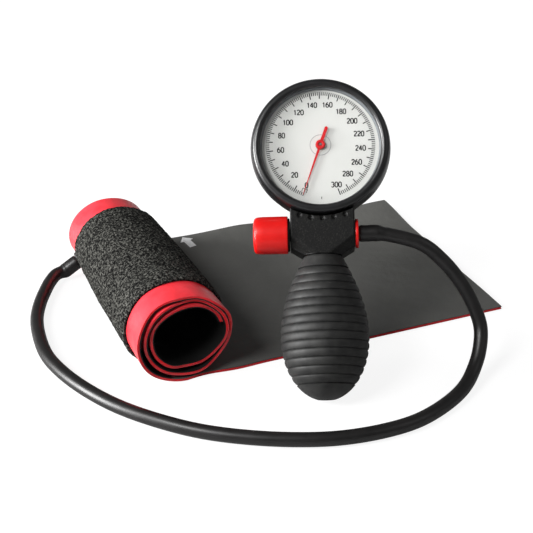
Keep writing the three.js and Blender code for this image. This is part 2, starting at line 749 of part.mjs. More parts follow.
function airManifold() {
  const end = manifoldEnd + past;
  return cut(manifoldShape(0, 0),
    rodAcross(airBoreRadius, -end, end),
    rodAcross(valveSocketRadius, -end, valveSocketEnd),
    rodAcross(hoseSocketRadius, hoseSocketEnd, end),
    rodUp(airBoreRadius, neckBottom - past, airAxisZ, bulbDepth),
    rodUp(bulbSocketRadius, neckBottom - past, bulbSocketTop, bulbDepth),
    rodUp(airBoreRadius, airAxisZ - airBoreRadius, stemSocketTop + past, stemDepth),
    rodUp(stemRadius + fit, stemFoot - fit, stemSocketTop + past, stemDepth),
    rod(airBoreRadius, bulbDepth, stemDepth, smallSides).translate(0, 0, airAxisZ));
}

const screwTip = bulbDepth - 2;

// Neck: a shield-shaped block under the gauge, hollowed for the manifold and split front to back
function neckOutline() {
  const arc = bezelRadius + fit;
  const side = Math.asin(neckHalfWidth / arc);
  const shape = new THREE.Shape();
  shape.moveTo(-neckHalfWidth, neckCorner);
  shape.lineTo(-neckFootHalf, neckBottom);
  shape.lineTo(neckFootHalf, neckBottom);
  shape.lineTo(neckHalfWidth, neckCorner);
  shape.lineTo(neckHalfWidth, -arc * Math.cos(side));
  shape.absarc(0, 0, arc, -Math.PI / 2 + side, -Math.PI / 2 - side, true);
  shape.closePath();
  return shape;
}

// A wedge that cuts one lower front edge of the neck away along a slanting face
function frontFacet(sign) {
  const [a, b, c, d] = [
    [neckHalfWidth + 0.2, neckFront - 0.2, neckShoulder + 0.5],
    [2.2, neckFront - 0.2, neckBottom - 0.2],
    [neckHalfWidth + 0.2, neckFront + facetDepth, neckBottom + 1],
    [neckHalfWidth + 4, neckFront - facetReach, neckBottom - facetReach],
  ].map(([x, y, z]) => new THREE.Vector3(sign * x, y, z));
  return new THREE.BufferGeometry().setFromPoints([a, b, c, a, d, b, b, d, c, c, d, a]);
}

function neck() {
  const depth = neckBack - neckFront;
  const bevel = 0.6;
  const solid = new THREE.ExtrudeGeometry(neckOutline(), {
    depth: depth - 2 * bevel, bevelThickness: bevel, bevelSize: bevel, bevelOffset: -bevel,
    bevelSegments: 1, curveSegments: 12,
  }).rotateX(Math.PI / 2).translate(0, neckBack - bevel, 0);
  const dimples = [...Array(dimpleCount).keys()].map((i) => {
    const angle = radians(-90 + (i - (dimpleCount - 1) / 2) * dimplePitch);
    return rod(dimpleRadius, neckFront - 1, neckFront + 0.9, 10)
      .translate(dimpleCircle * Math.cos(angle), 0, dimpleCircle * Math.sin(angle));
  });
  const screwHoles = [-screwX, screwX].flatMap((x) => [
    rod(screwRadius + fit, screwTip, neckBack + past, smallSides).translate(x, 0, screwZ),
    rod(screwHeadRadius + fit, neckBack - screwHeadSink, neckBack + past, smallSides)
      .translate(x, 0, screwZ),
  ]);
  const armHole = rodAcross(manifoldArmRadius + fit, -neckHalfWidth - past, neckHalfWidth + past);
  const stemHole = rodUp(stemRadius + fit, airAxisZ, stemTop + stemRoom, stemDepth);
  return cut(solid, frontFacet(1), frontFacet(-1), manifoldShape(fit, fit), armHole, stemHole,
    ...dimples, ...screwHoles);
}

const wholeNeck = neck();
const neckHalf = (y0, y1) => overlap(wholeNeck,
  block(-neckHalfWidth - past, neckHalfWidth + past, y0, y1, neckBottom - past, 0));

add(handset, 'neck_front_shell', neckHalf(-past, bulbDepth - fit / 2), 'blackPlastic');
add(handset, 'neck_rear_shell', neckHalf(bulbDepth + fit / 2, neckBack + past), 'blackPlastic');
add(handset, 'air_manifold', airManifold(), 'brass');
[-screwX, screwX].forEach((x, i) => {
  const headSeat = neckBack - screwHeadSink;
  const screw = join(rod(screwRadius, screwTip + fit, headSeat + past, smallSides),
    rod(screwHeadRadius, headSeat + fit, neckBack - fit, smallSides));
  const slot = block(-3, 3, neckBack - 0.9, neckBack + past, -0.3, 0.3);
  add(handset, `neck_screw_${i + 1}`, cut(screw, slot).translate(x, 0, screwZ), 'steel');
});

// Release valve, along X from the manifold out through the knob on the left
const collarFace = -neckHalfWidth - fit;
const knobFace = collarFace - collarThickness - fit;
const knobEnd = knobFace - knobLength;
const sleeveEnd = knobFace - sleeveLength;
const needleTip = valveSocketEnd - 1.2;
const needleEnd = knobEnd + 3.4;
const seatFoot = valveSocketEnd - 2.9;
const collarFoot = seatFoot - 1.7;

function valveCollar() {
  return onAirAxis(turned([
    [needleRadius + fit, collarFoot], [valveSocketRadius - fit, collarFoot],
    [valveSocketRadius - fit, collarFace], [collarRadius, collarFace],
    [collarRadius, collarFace - collarThickness], [sleeveRadius, collarFace - collarThickness],
    [sleeveRadius, sleeveEnd], [needleRadius + fit, sleeveEnd], [needleRadius + fit, collarFoot],
  ], mediumSides, 'x'));
}

function valveSeat() {
  return onAirAxis(turned([
    [seatBore, valveSocketEnd - fit], [valveSocketRadius - fit, valveSocketEnd - fit],
    [valveSocketRadius - fit, seatFoot], [needleRadius + fit, seatFoot], [seatBore, valveSocketEnd - 0.8],
    [seatBore, valveSocketEnd - fit],
  ], smallSides, 'x'));
}

function valveNeedle() {
  return onAirAxis(turned([
    [0, needleTip], [seatBore / 2, needleTip - 0.1], [needleRadius, needleTip - 2.4],
    [needleRadius, needleEnd], [0, needleEnd],
  ], smallSides, 'x'));
}

function sealRing() {
  const torus = new THREE.TorusGeometry(needleRadius + fit + sealRadius, sealRadius, 6, smallSides);
  return onAirAxis(torus.rotateY(Math.PI / 2).translate((seatFoot + collarFoot) / 2, 0, 0));
}

function releaseKnob() {
  const r = knobRadius;
  const cupEnd = sleeveEnd - 2.4;
  return onAirAxis(turned([
    [0, needleEnd - fit], [needleRadius + fit, needleEnd - fit], [needleRadius + fit, cupEnd],
    [r - knobWall, cupEnd], [r - knobWall, knobFace], [r - 0.3, knobFace], [r, knobFace - 0.3],
    [r - 0.25, knobEnd + 2.2], [r - 0.8, knobEnd + 1.2], [r - 2.4, knobEnd + 0.6], [r - 5, knobEnd + 0.15],
    [0, knobEnd],
  ], mediumSides, 'x'));
}

add(handset, 'valve_collar', valveCollar(), 'blackPlastic');
add(handset, 'valve_seat', valveSeat(), 'brass');
add(handset, 'valve_needle', valveNeedle(), 'steel');
add(handset, 'valve_seal_ring', sealRing(), 'blackRubber');
add(handset, 'release_knob', releaseKnob(), 'redPlastic');

// Hose side: a red ring on the neck and a barbed fitting through it
const ringFace = neckHalfWidth + fit;
const hoseFace = ringFace + ringThickness + fit;
const barbTip = hoseFace + nippleLength;

function hoseBarb() {
  const shank = hoseSocketRadius - fit;
  return onAirAxis(turned([
    [airBoreRadius, hoseSocketEnd + fit], [shank, hoseSocketEnd + fit], [shank, hoseFace],
    [nippleRadius, hoseFace + 0.4], [nippleRadius, barbTip - 4], [nippleRadius + barbRidge, barbTip - 3.8],
    [nippleRadius, barbTip - 1], [nippleRadius - 0.3, barbTip], [airBoreRadius, barbTip],
    [airBoreRadius, hoseSocketEnd + fit],
  ], smallSides, 'x'));
}

add(handset, 'hose_ring', onAirAxis(
  ring(hoseSocketRadius, ringRadius, ringFace, ringFace + ringThickness, mediumSides, 'x')), 'redPlastic');
add(handset, 'hose_barb', hoseBarb(), 'brass');

// Bulb: an ellipse below its widest ring and a cosine above, with round ribs between two collars
function bulbLine(z) {
  const away = z - bulbWidest;
  if (away > 0) return bulbRadius * Math.cos((Math.PI / 2) * (away / bulbTaperLength));
  const share = Math.min(1, away / (bulbEnd - bulbWidest));
  return bulbRadius * Math.sqrt(1 - share * share);
}

function bulb() {
  const inletZ = bulbWidest + (bulbEnd - bulbWidest) * Math.sqrt(1 - (bulbInletRadius / bulbRadius) ** 2);
  const ribFoot = ribStart - ribCount * ribPitch;
  const outside = [[bulbLine(bulbTop) - 0.5, bulbTop], [bulbLine(bulbTop - 0.6) - 0.1, bulbTop - 0.6]];
  for (let rib = 0; rib < ribCount; rib += 1) {
    const top = ribStart - rib * ribPitch;
    outside.push([bulbLine(top) - ribDepth, top]);
    for (const share of [0.3, 0.7]) outside.push([bulbLine(top - share * ribPitch), top - share * ribPitch]);
  }
  outside.push([bulbLine(ribFoot) - ribDepth, ribFoot]);
  for (const share of [0.25, 0.6, 0.85]) {
    const z = THREE.MathUtils.lerp(ribFoot, inletZ, share);
    outside.push([bulbLine(z), z]);
  }
  outside.push([bulbInletRadius, inletZ]);
  const wall = bulbWall + ribDepth;
  const hollowFoot = bulbEnd + 4.2;
  const inside = [[bulbInletRadius, hollowFoot]];
  const steps = 9;
  for (let i = 0; i <= steps; i += 1) {
    const z = THREE.MathUtils.lerp(hollowFoot, bulbTop - bulbMouthLength - 1, i / steps);
    const radius = bulbLine(z - wall * 0.6) - wall;
    inside.push([Math.max(radius, bulbInletRadius + 0.4), z]);
  }
  inside.push([bulbMouthRadius, bulbTop - bulbMouthLength], [bulbMouthRadius, bulbTop]);
  return turned([...outside, ...inside, outside[0]], bulbSides, 'z').translate(0, bulbDepth, 0);
}

// Outlet valve in the bulb's mouth and inlet valve in its end: a bored plug, a flap and its seat
const onBulbAxis = (geometry) => geometry.translate(0, bulbDepth, 0);
const chamberTop = bulbTop - 3.6;
const chamberRadius = 3;
const insertFoot = bulbTop - insertDepth;
const seatTop = chamberTop - 3.2;

function bulbInsert() {
  const outer = bulbMouthRadius - fit;
  return onBulbAxis(turned([
    [airBoreRadius, bulbSocketTop - fit], [bulbSocketRadius - fit, bulbSocketTop - fit],
    [bulbSocketRadius - fit, bulbTop - fit], [outer, bulbTop - fit - 0.4], [outer, insertFoot],
    [chamberRadius, insertFoot], [chamberRadius, chamberTop], [airBoreRadius, chamberTop],
    [airBoreRadius, bulbSocketTop - fit],
  ], smallSides, 'z'));
}

const inletTop = bulbEnd + inletDepth;
const inletFloor = bulbEnd + 3;
const cageFoot = inletTop - 1.5;

function inletBody() {
  const outer = bulbInletRadius - fit;
  const bore = flapRadius + fit;
  return onBulbAxis(turned([
    [airBoreRadius, bulbEnd + 0.5], [outer - 0.5, bulbEnd + 0.5], [outer, bulbEnd + 1], [outer, inletTop],
    [bore, inletTop], [bore, inletFloor], [airBoreRadius, inletFloor], [airBoreRadius, bulbEnd + 0.5],
  ], smallSides, 'z'));
}

const flap = (seat) => rodUp(flapRadius, seat + fit, seat + fit + flapThickness, bulbDepth);

const bulbMesh = add(handset, 'bulb', bulb(), 'blackRubber');
add(handset, 'bulb_insert', bulbInsert(), 'blackPlastic');
add(handset, 'outlet_valve_seat', onBulbAxis(
  ring(airBoreRadius, chamberRadius - fit, insertFoot, seatTop, smallSides, 'z')), 'blackPlastic');
add(handset, 'outlet_valve_flap', flap(seatTop), 'silicone');
add(handset, 'inlet_valve_body', inletBody(), 'blackPlastic');
add(handset, 'inlet_valve_flap', flap(inletFloor), 'silicone');
add(handset, 'inlet_valve_cage', onBulbAxis(
  ring(airBoreRadius, flapRadius, cageFoot, inletTop, smallSides, 'z')), 'blackPlastic');

// Stand the handset so that the bulb's lowest point is on the ground
handset.rotation.set(-radians(handsetLean), -radians(handsetRoll), radians(handsetTurn), 'ZXY');
handset.position.set(handsetX, handsetY, 0);
monitor.updateMatrixWorld(true);
handset.position.z = -new THREE.Box3().setFromObject(bulbMesh, true).min.z;
monitor.updateMatrixWorld(true);

// Hose: straight off the barb, down to the ground in front, round the left and up to the cuff port
const hoseRoute = [
  [33.2, -118.2, 64.7], [42.4, -123.1, 56.6], [50.6, -128.2, 45.5], [56.0, -133.8, 33.9],
  [57.9, -140.0, 22.8], [54.1, -146.6, 13.9], [47.3, -152.9, 7.0], [37.7, -160.7, 4.3],
  [23.3, -168.9, 3.6], [4.1, -175.8, 3.6], [-14.6, -177.1, 3.6], [-36.3, -174.2, 3.6],
  [-56.1, -167.2, 3.6], [-76.8, -156.3, 3.6], [-94.4, -143.7, 3.6], [-109.5, -128.3, 3.6],
  [-123.4, -109.8, 3.6], [-133.3, -90.6, 3.6], [-140.2, -70.8, 3.6], [-143.6, -51.8, 3.6],
  [-142.7, -31.7, 3.6], [-139.3, -13.0, 3.6], [-133.8, 2.3, 3.6], [-127.8, 14.5, 3.7],
  [-121.8, 24.8, 3.9], [-116.8, 30.4, 4.3],
].map((point) => new THREE.Vector3(...point));

function hose() {
  const fromBarb = (x) => new THREE.Vector3(x, bulbDepth, airAxisZ).applyMatrix4(handset.matrixWorld);
  const [portX, portZ] = rollPoint(radians(portAngle), 0, portY);
  const fromPort = (away) => new THREE.Vector3(portX - away * Math.sin(radians(portAngle)),
    portY, portZ - away * Math.cos(radians(portAngle)));
  const portTop = portFlangeThickness + 2 * fit;
  const curve = new THREE.CatmullRomCurve3([
    fromBarb(hoseFace), fromBarb(hoseFace + nippleLength * 0.5), fromBarb(barbTip), ...hoseRoute,
    fromPort(portTop + nippleLength), fromPort(portTop + nippleLength * 0.5), fromPort(portTop),
  ]);
  console.log(`hose: ${curve.getLength().toFixed(1)} mm long`);
  const sleeve = nippleRadius + barbRidge + fit;
  const barbRoom = rodAcross(sleeve, hoseFace - past, barbTip + 2 * fit).applyMatrix4(handset.matrixWorld);
  const portRoom = onPort(rod(sleeve, portTop - past, portTop + nippleLength + 2 * fit, smallSides));
  return cut(tube(curve, hoseRadius, wireSides, hoseSteps), barbRoom, portRoom);
}

add(monitor, 'hose', hose(), 'blackRubber');

export default monitor;
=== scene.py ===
# %% [markdown]
# # A palm blood pressure monitor
# A dial gauge sits on a valve neck, a ribbed rubber bulb hangs under the neck, and one hose runs
# from the neck round the front and the left to an arm cuff that lies half rolled up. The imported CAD
# model is the frame: every piece made here is in metres and lies where the CAD says it does.

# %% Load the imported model
import json
import math

import bmesh
import bpy
import numpy as np
from mathutils import Matrix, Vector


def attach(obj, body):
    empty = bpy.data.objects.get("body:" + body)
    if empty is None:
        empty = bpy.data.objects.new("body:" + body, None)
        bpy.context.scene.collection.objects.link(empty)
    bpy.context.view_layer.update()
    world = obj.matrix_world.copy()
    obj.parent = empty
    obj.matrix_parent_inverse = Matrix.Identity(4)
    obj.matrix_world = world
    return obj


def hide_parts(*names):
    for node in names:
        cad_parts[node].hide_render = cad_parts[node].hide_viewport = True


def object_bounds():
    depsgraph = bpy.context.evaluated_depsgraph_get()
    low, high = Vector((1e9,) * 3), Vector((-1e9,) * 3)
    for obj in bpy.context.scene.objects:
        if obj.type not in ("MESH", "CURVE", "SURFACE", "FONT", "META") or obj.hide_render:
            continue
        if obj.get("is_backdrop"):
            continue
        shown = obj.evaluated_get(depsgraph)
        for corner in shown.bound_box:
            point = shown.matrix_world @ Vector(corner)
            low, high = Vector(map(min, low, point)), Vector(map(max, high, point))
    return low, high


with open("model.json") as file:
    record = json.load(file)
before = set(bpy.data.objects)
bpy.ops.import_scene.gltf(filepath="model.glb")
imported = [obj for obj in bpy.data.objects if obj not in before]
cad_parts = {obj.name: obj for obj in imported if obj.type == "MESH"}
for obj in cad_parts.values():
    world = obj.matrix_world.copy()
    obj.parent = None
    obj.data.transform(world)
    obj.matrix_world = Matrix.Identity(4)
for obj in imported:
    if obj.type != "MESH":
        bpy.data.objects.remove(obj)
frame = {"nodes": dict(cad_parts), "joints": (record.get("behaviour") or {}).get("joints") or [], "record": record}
cad_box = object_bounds()
scene = bpy.context.scene
scene.view_settings.view_transform = "Standard"
MM = 0.001
print("CAD box in mm:", [[round(value / MM, 1) for value in corner] for corner in cad_box])

# %% [markdown]
# ## The camera first
# The photograph was taken from in front, a little to the left and 28 degrees above the table, with
# a long lens. A camera is easiest to place by three directions at right angles, which are the
# columns of its matrix: right, up and backwards.

# %% Camera
PHOTO_SIZE = 533
FOCAL_PIXELS = 1322
SENSOR_MM = 36
CAMERA_PLACE = np.array([-0.2633, -0.6245, 0.3660])
CAMERA_FORWARD = np.array([0.3418, 0.8107, -0.4752])


def unit(vectors):
    """Each vector divided by its own length."""
    return vectors / np.linalg.norm(vectors, axis=-1, keepdims=True)


def pose(right, up, back, place):
    """The matrix whose columns are three directions and a place."""
    return Matrix(np.column_stack([right, up, back, place]).tolist() + [[0, 0, 0, 1]])


def add_object(name, data):
    made = bpy.data.objects.new(name, data)
    scene.collection.objects.link(made)
    return made


def make_camera():
    forward = unit(CAMERA_FORWARD)
    right = unit(np.cross(forward, (0, 0, 1)))
    up = np.cross(right, forward)
    data = bpy.data.cameras.new("camera")
    data.sensor_width = SENSOR_MM
    data.lens = SENSOR_MM * FOCAL_PIXELS / PHOTO_SIZE
    data.clip_end = 20
    camera = add_object("camera", data)
    camera.matrix_world = pose(right, up, -forward, CAMERA_PLACE)
    scene.camera = camera
    return data.lens


print("lens:", round(make_camera(), 1), "mm")

# %% [markdown]
# ## From numbers to a mesh
# Every surface below is a grid of points that numpy works out at once. Helpers join each point to
# its neighbours, close the grid round on itself where asked, merge points that fell together at a
# pole, and turn the faces outwards by the sign of the volume. Lengths are in mm until MM turns them
# into metres.

# %% Grids become pieces
SHARP = math.radians(38)
WELD_DISTANCE, SLIVER = 1e-6, 1e-7


def circle(count):
    """That many angles, evenly round a full turn."""
    return np.linspace(0, math.tau, count, endpoint=False)[None, :]


def smooth(share):
    """From 0 to 1 with level ends: 3s^2 - 2s^3."""
    return share * share * (3 - 2 * share)


def joined(*coordinates):
    """One array of points from the arrays of their coordinates."""
    return np.stack(np.broadcast_arrays(*coordinates), axis=-1)


def from_ends(values):
    """How far each value is from the nearer end of its range."""
    return np.minimum(values - values.min(), values.max() - values)


def grid_faces(rows, columns, wrap_rows=False):
    """Corners (i, j), (i, j+1), (i+1, j+1), (i+1, j) of every cell. The last column joins the
    first, and so does the last row where wrap_rows is set."""
    i, j = np.indices((rows - (not wrap_rows), columns))
    below, beside = (i + 1) % rows, (j + 1) % columns
    return joined(i * columns + j, i * columns + beside, below * columns + beside,
                  below * columns + j).reshape(-1, 4)


def signed_volume(points, faces):
    """A sixth of the sum of a . (b x c) over every face's two triangles: negative inside out."""
    triangles = np.concatenate([faces[:, [0, 1, 2]], faces[:, [0, 2, 3]]])
    a, b, c = points[triangles.T]
    return np.einsum("ij,ij->", a, np.cross(b, c)) / 6


def new_piece(name, points, faces, finish, node=None, body="root"):
    """A mesh piece from points in metres and four-cornered faces, which rides on a body."""
    points = np.asarray(points, float).reshape(-1, 3)
    if signed_volume(points, faces) < 0:
        faces = faces[:, ::-1]
    mesh = bpy.data.meshes.new(name)
    mesh.from_pydata(points.tolist(), [], faces.tolist())
    cleaner = bmesh.new()
    cleaner.from_mesh(mesh)
    bmesh.ops.remove_doubles(cleaner, verts=cleaner.verts, dist=WELD_DISTANCE)
    bmesh.ops.dissolve_degenerate(cleaner, edges=cleaner.edges, dist=SLIVER)
    cleaner.to_mesh(mesh)
    cleaner.free()
    mesh.shade_smooth()
    mesh.set_sharp_from_angle(angle=SHARP)
    mesh.materials.append(finish.material)
    piece = add_object(name, mesh)
    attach(piece, body)
    if node:
        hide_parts(node)
    return piece


def stacked(*parts):
    """Several (points, faces) as one pair, with each part's faces counted on from the last part."""
    points = [part[0].reshape(-1, 3) for part in parts]
    starts = np.cumsum([0] + [len(part) for part in points])
    faces = [part[1] + start for part, start in zip(parts, starts)]
    return np.concatenate(points), np.concatenate(faces)


# %% [markdown]
# ## Shader maths that reads like maths
# A material's numbers flow through nodes. A small class wraps one output socket and overloads the
# operators, so `0.4 + 0.1 * noise` adds the two Math nodes by itself. One more method makes any
# other node from its type, its settings and the values of its sockets.

# %% Signals and finishes
def math_node(operation):
    """A Python operator that adds a Math node."""
    return lambda self, other: self.finish.node("Math", {"operation": operation}, self, other)


class Signal:
    """One number or colour that flows out of a shader node."""
    __add__ = __radd__ = math_node("ADD")
    __sub__ = math_node("SUBTRACT")
    __mul__ = __rmul__ = math_node("MULTIPLY")
    __pow__ = math_node("POWER")

    def __init__(self, finish, socket):
        self.finish, self.socket = finish, socket

    def between(self, low, high):
        """0 below low, 1 above high, and a smooth step from one to the other."""
        settings = {"interpolation_type": "SMOOTHSTEP"}
        return self.finish.node("MapRange", settings, self, low, high, 0.0, 1.0)


class Finish:
    """A material for one slot of the record: a Principled shader and what feeds it."""

    def __init__(self, name, slot, specular=0.5, **constants):
        self.slot = slot
        self.material = bpy.data.materials.new(name)
        self.material.use_nodes = True
        self.tree = self.material.node_tree
        self.shader = self.tree.nodes["Principled BSDF"]
        self.feed(Specular_IOR_Level=specular, **constants)

    def fill(self, socket, value):
        """Link a signal to a socket, or write a constant into it."""
        if isinstance(value, Signal):
            self.tree.links.new(value.socket, socket)
        else:
            socket.default_value = value

    def feed(self, **values):
        """Fill the shader's own sockets."""
        for socket, value in values.items():
            self.fill(self.shader.inputs[socket.replace("_", " ")], value)
        return self

    def node(self, kind, settings, *values, output=0, **named):
        """Add a node of that kind, set it up, then fill its sockets in order or by name."""
        made = self.tree.nodes.new("ShaderNode" + kind)
        for setting, value in settings.items():
            setattr(made, setting, value)
        for socket, value in zip(made.inputs, values):
            self.fill(socket, value)
        for name, value in named.items():
            self.fill(made.inputs[name], value)
        return Signal(self, made.outputs[output])

    def place(self):
        """The point on the piece, in metres."""
        return self.node("TexCoord", {}, output="Object")

    def along(self, axis):
        """One coordinate of that point, in millimetres."""
        return self.node("SeparateXYZ", {}, self.place(), output=axis) * 1000

    def noise(self, size, detail=3.0, roughness=0.5, stretch=(1, 1, 1)):
        """Cloudy noise whose features are about size millimetres across."""
        where = self.node("Mapping", {}, self.place(), Scale=stretch)
        return self.node("TexNoise", {}, Vector=where, Scale=1 / (size * MM), Detail=detail,
                         Roughness=roughness)

    def mixed(self, share, first, second):
        """The first colour where share is 0 and the second where it is 1: signals, or three screen
        values. A Mix node takes its colours in sockets 6 and 7 and gives the mix at output 2."""
        mix = self.tree.nodes.new("ShaderNodeMix")
        mix.data_type = "RGBA"
        self.fill(mix.inputs[0], share)
        for index, value in ((6, first), (7, second)):
            self.fill(mix.inputs[index], from_screen(*value) if isinstance(value, tuple) else value)
        return Signal(self, mix.outputs[2])

    def bump(self, height, distance):
        """Bend the shading by a height signal that stands for distance millimetres."""
        return self.feed(Normal=self.node("Bump", {}, Strength=1.0, Distance=distance * MM,
                                          Height=height))


def from_screen(red, green, blue):
    """A colour as a picture shows it, 0 to 255, turned into the linear light that shaders use."""
    value = np.array([red, green, blue]) / 255
    light = np.where(value <= 0.04045, value / 12.92, ((value + 0.055) / 1.055) ** 2.4)
    return (*light.tolist(), 1.0)


# %% [markdown]
# ## The finishes
# Each finish carries the detail that the real one has: the laminate's soft orange-peel gloss, the
# fine spark texture of moulded plastic, the dusty matt of bulb rubber, the off-white of the dial.

# %% Rubber, plastic and paint
def spotted(name, slot, dark, light, cloud, share=0.5, **constants):
    """A finish whose colour drifts between two screen colours, in clouds of a size in mm."""
    made = Finish(name, slot, **constants)
    drift = made.noise(cloud, 4.0).between(0.5 - share / 2, 0.5 + share / 2)
    return made.feed(Base_Color=made.mixed(drift, dark, light))


def coated(name, slot, dark, light, cloud, rough, spread, grain, **others):
    """The same with a roughness that drifts from rough to rough + spread, in grains of a size."""
    made = spotted(name, slot, dark, light, cloud, **others)
    return made.feed(Roughness=rough + spread * made.noise(grain))


hose_rubber = coated("hose_rubber", "black_rubber", (12, 11, 11), (22, 20, 20), 9, 0.32, 0.14, 6)
hose_rubber.bump(hose_rubber.noise(1.2), 0.02)

bulb_rubber = coated("bulb_rubber", "black_rubber", (24, 24, 24), (40, 40, 39), 5, 0.5, 0.18, 3,
                     specular=0.35)
bulb_rubber.bump(bulb_rubber.noise(0.5, 5.0), 0.03)

neck_plastic = Finish("neck_plastic", "black_plastic", specular=0.22)
grain = neck_plastic.noise(0.7, 2.0, 0.6).between(0.5, 0.74)
neck_plastic.feed(Base_Color=neck_plastic.mixed(grain, (5, 5, 5), (34, 34, 31)),
                  Roughness=0.45 + 0.12 * neck_plastic.noise(4))
neck_plastic.bump(neck_plastic.noise(0.9, 3.0, 0.6), 0.1)

red_plastic = coated("red_plastic", "red_plastic", (194, 9, 7), (206, 16, 12), 12, 0.36, 0.1, 3,
                     specular=0.35, Coat_Weight=0.1)
red_plastic.bump(red_plastic.noise(0.5), 0.01)

bezel_paint = coated("bezel_paint", "bezel_paint", (11, 11, 12), (20, 20, 22), 8, 0.3, 0.1, 5,
                     Coat_Weight=0.2)
bezel_paint.bump(bezel_paint.noise(0.2, 2.0), 0.008)

soft_rubber = coated("soft_rubber", "black_rubber", (22, 22, 22), (30, 30, 30), 3, 0.55, 0.1, 2)
dial_paint = coated("dial_paint", "dial_paint", (203, 204, 200), (209, 210, 206), 14, 0.5, 0.1, 1)
# Painted shade: the spacer ring has the dial's paint, darkened here for the shade that the bezel throws on the
# ring between it and the dial.
spacer_painted_shade = coated("spacer_painted_shade", "dial_paint", (96, 100, 103), (108, 112, 115), 6, 0.4, 0.1, 2,
                      specular=0.3)
dial_ink = coated("dial_ink", "black_plastic", (10, 10, 11), (18, 18, 19), 2, 0.5, 0.1, 1,
                  specular=0.1)
grey_ink = coated("grey_ink", "black_plastic", (120, 121, 124), (140, 141, 144), 2, 0.5, 0.1, 1)
pointer_paint = coated("pointer_paint", "pointer_paint", (186, 4, 14), (198, 7, 18), 5, 0.35, 0.1,
                       1, specular=0.2)
print("finishes so far:", len(bpy.data.materials))

# %% [markdown]
# ## The hose
# One rubber hose, 7.1 mm thick, is pushed over a barb on the neck and over another on the cuff,
# and swells a little on both. Its middle line is the CAD's own: a centripetal Catmull-Rom curve,
# whose knots are spaced by the square root of the distance.

# %% The handset's own axes, read from the joints
by_name = {joint["name"]: joint for joint in frame["joints"]}
DEPTH, ACROSS, ALONG = (unit(np.array(by_name[name]["axis"], float))
                        for name in ("pointer_turn", "rocker_turn", "outlet_flap_lift"))
PIVOT = np.array(by_name["pointer_turn"]["pos_m"], float)
PIVOT_DEPTH, AXIS_RISE = 5, 1
CENTRE = PIVOT - PIVOT_DEPTH * MM * DEPTH - AXIS_RISE * MM * ALONG


def on_handset(points):
    """Points in mm across, deep and along the handset, turned into its pose, in metres."""
    points = np.asarray(points, float) * MM
    x, y, z = np.split(points, 3, axis=-1)
    return CENTRE + x * ACROSS + y * DEPTH + z * ALONG


print("bezel's centre at", np.round(CENTRE / MM, 2), "mm")

# %% The cuff's roll, which the hose ends at
CUFF_FRONT, CUFF_BACK, CUFF_END = -95.5, 44.5, 99.9
ROLL_X = -83.2
ROLL_FRONT, ROLL_BACK = 24.7, 21.2
ROLL_PITCH, ROLL_TURNS = 2.1, 65 / 24
ROLL_SLACK, SLACK_ANGLE = 1.8, math.radians(45)
LOOSE_FRONT = 45
THIRDS = [CUFF_FRONT, -25, CUFF_BACK]
PORT_ANGLE, PORT_Y = math.radians(60), CUFF_BACK - 12.6
PORT_OUT = -np.array([math.sin(PORT_ANGLE), 0, math.cos(PORT_ANGLE)])


def roll_line(angle, inset, y):
    """A spiral on a slow cone: the radius falls by a pitch a turn, and by more on the slack side.
    x = middle - r sin(angle) and z = outer radius - r cos(angle). Soft cloth lies less evenly.
    Towards the front r gets shallow dents, the inner turns a loose wave and the edge buckles in y.
    Along the roll x is wider than r on each side and leans over the tail, and z is a bit flat."""
    outer_radius = np.interp(y, [CUFF_FRONT, CUFF_BACK], [ROLL_FRONT, ROLL_BACK])
    slack = ROLL_SLACK * (1 + np.cos(angle - SLACK_ANGLE)) / 2
    radius = outer_radius - inset - (ROLL_PITCH + slack) * (angle - np.sin(angle)) / math.tau

    front = np.clip((CUFF_FRONT + LOOSE_FRONT - np.asarray(y, float)) / LOOSE_FRONT, 0, 1) ** 2
    dents = 0.022 * np.sin(3 * angle + 0.6) + 0.014 * np.sin(7 * angle + 2.0)
    radius = radius * (1 + front * dents * (1 - np.cos(angle)) / 2)
    loose = np.clip(angle / math.tau - 1, 0, 1) * (1 + np.cos(angle - SLACK_ANGLE)) / 2
    radius = radius + 0.6 * front * loose * np.sin(2.3 * angle + 1)

    free_side = np.interp(y, THIRDS, [1.07, 1.14, 1.2])
    hose_side = np.interp(y, [CUFF_FRONT, -25, 10, PORT_Y, CUFF_BACK],
                          [1.07, 1.09, 1.05, 1.02, 1.06])
    wide = np.where(np.sin(angle) < 0, free_side, hose_side)
    lean = np.interp(y, THIRDS, [0.2, 1.2, 1.4]) * (1 - np.cos(angle)) / 2
    x = ROLL_X + lean - wide * radius * np.sin(angle)
    z = np.interp(y, THIRDS, [1.0, 0.99, 0.955]) * (outer_radius - radius * np.cos(angle))
    buckle = 0.9 * np.sin(2.7 * angle + 0.5) + 0.5 * np.sin(6.1 * angle)
    y = y + front * buckle * np.clip(angle / 1.5, 0, 1)
    return joined(x, y, z)


PORT_PLACE = roll_line(PORT_ANGLE, 0.0, PORT_Y)

# %% Hose
BULB_DEPTH, AIR_AXIS = 8.0, -43.6
HOSE_FACE, NIPPLE = 18.0, 9.0
HOSE_RADIUS, HOSE_BORE, HOSE_SIDES = 3.55, 2.0, 40
HOSE_ROUTE = [
    (33.2, -118.2, 64.7), (42.4, -123.1, 56.6), (50.6, -128.2, 45.5), (56.0, -133.8, 33.9),
    (57.9, -140.0, 22.8), (54.1, -146.6, 13.9), (47.3, -152.9, 7.0), (37.7, -160.7, 4.3),
    (23.3, -168.9, 3.6), (4.1, -175.8, 3.6), (-14.6, -177.1, 3.6), (-36.3, -174.2, 3.6),
    (-56.1, -167.2, 3.6), (-76.8, -156.3, 3.6), (-94.4, -143.7, 3.6), (-109.5, -128.3, 3.6),
    (-123.4, -109.8, 3.6), (-133.3, -90.6, 3.6), (-140.2, -70.8, 3.6), (-143.6, -51.8, 3.6),
    (-142.7, -31.7, 3.6), (-139.3, -13.0, 3.6), (-133.8, 2.3, 3.6), (-127.8, 14.5, 3.7),
    (-121.8, 24.8, 3.9), (-116.8, 30.4, 4.3),
]


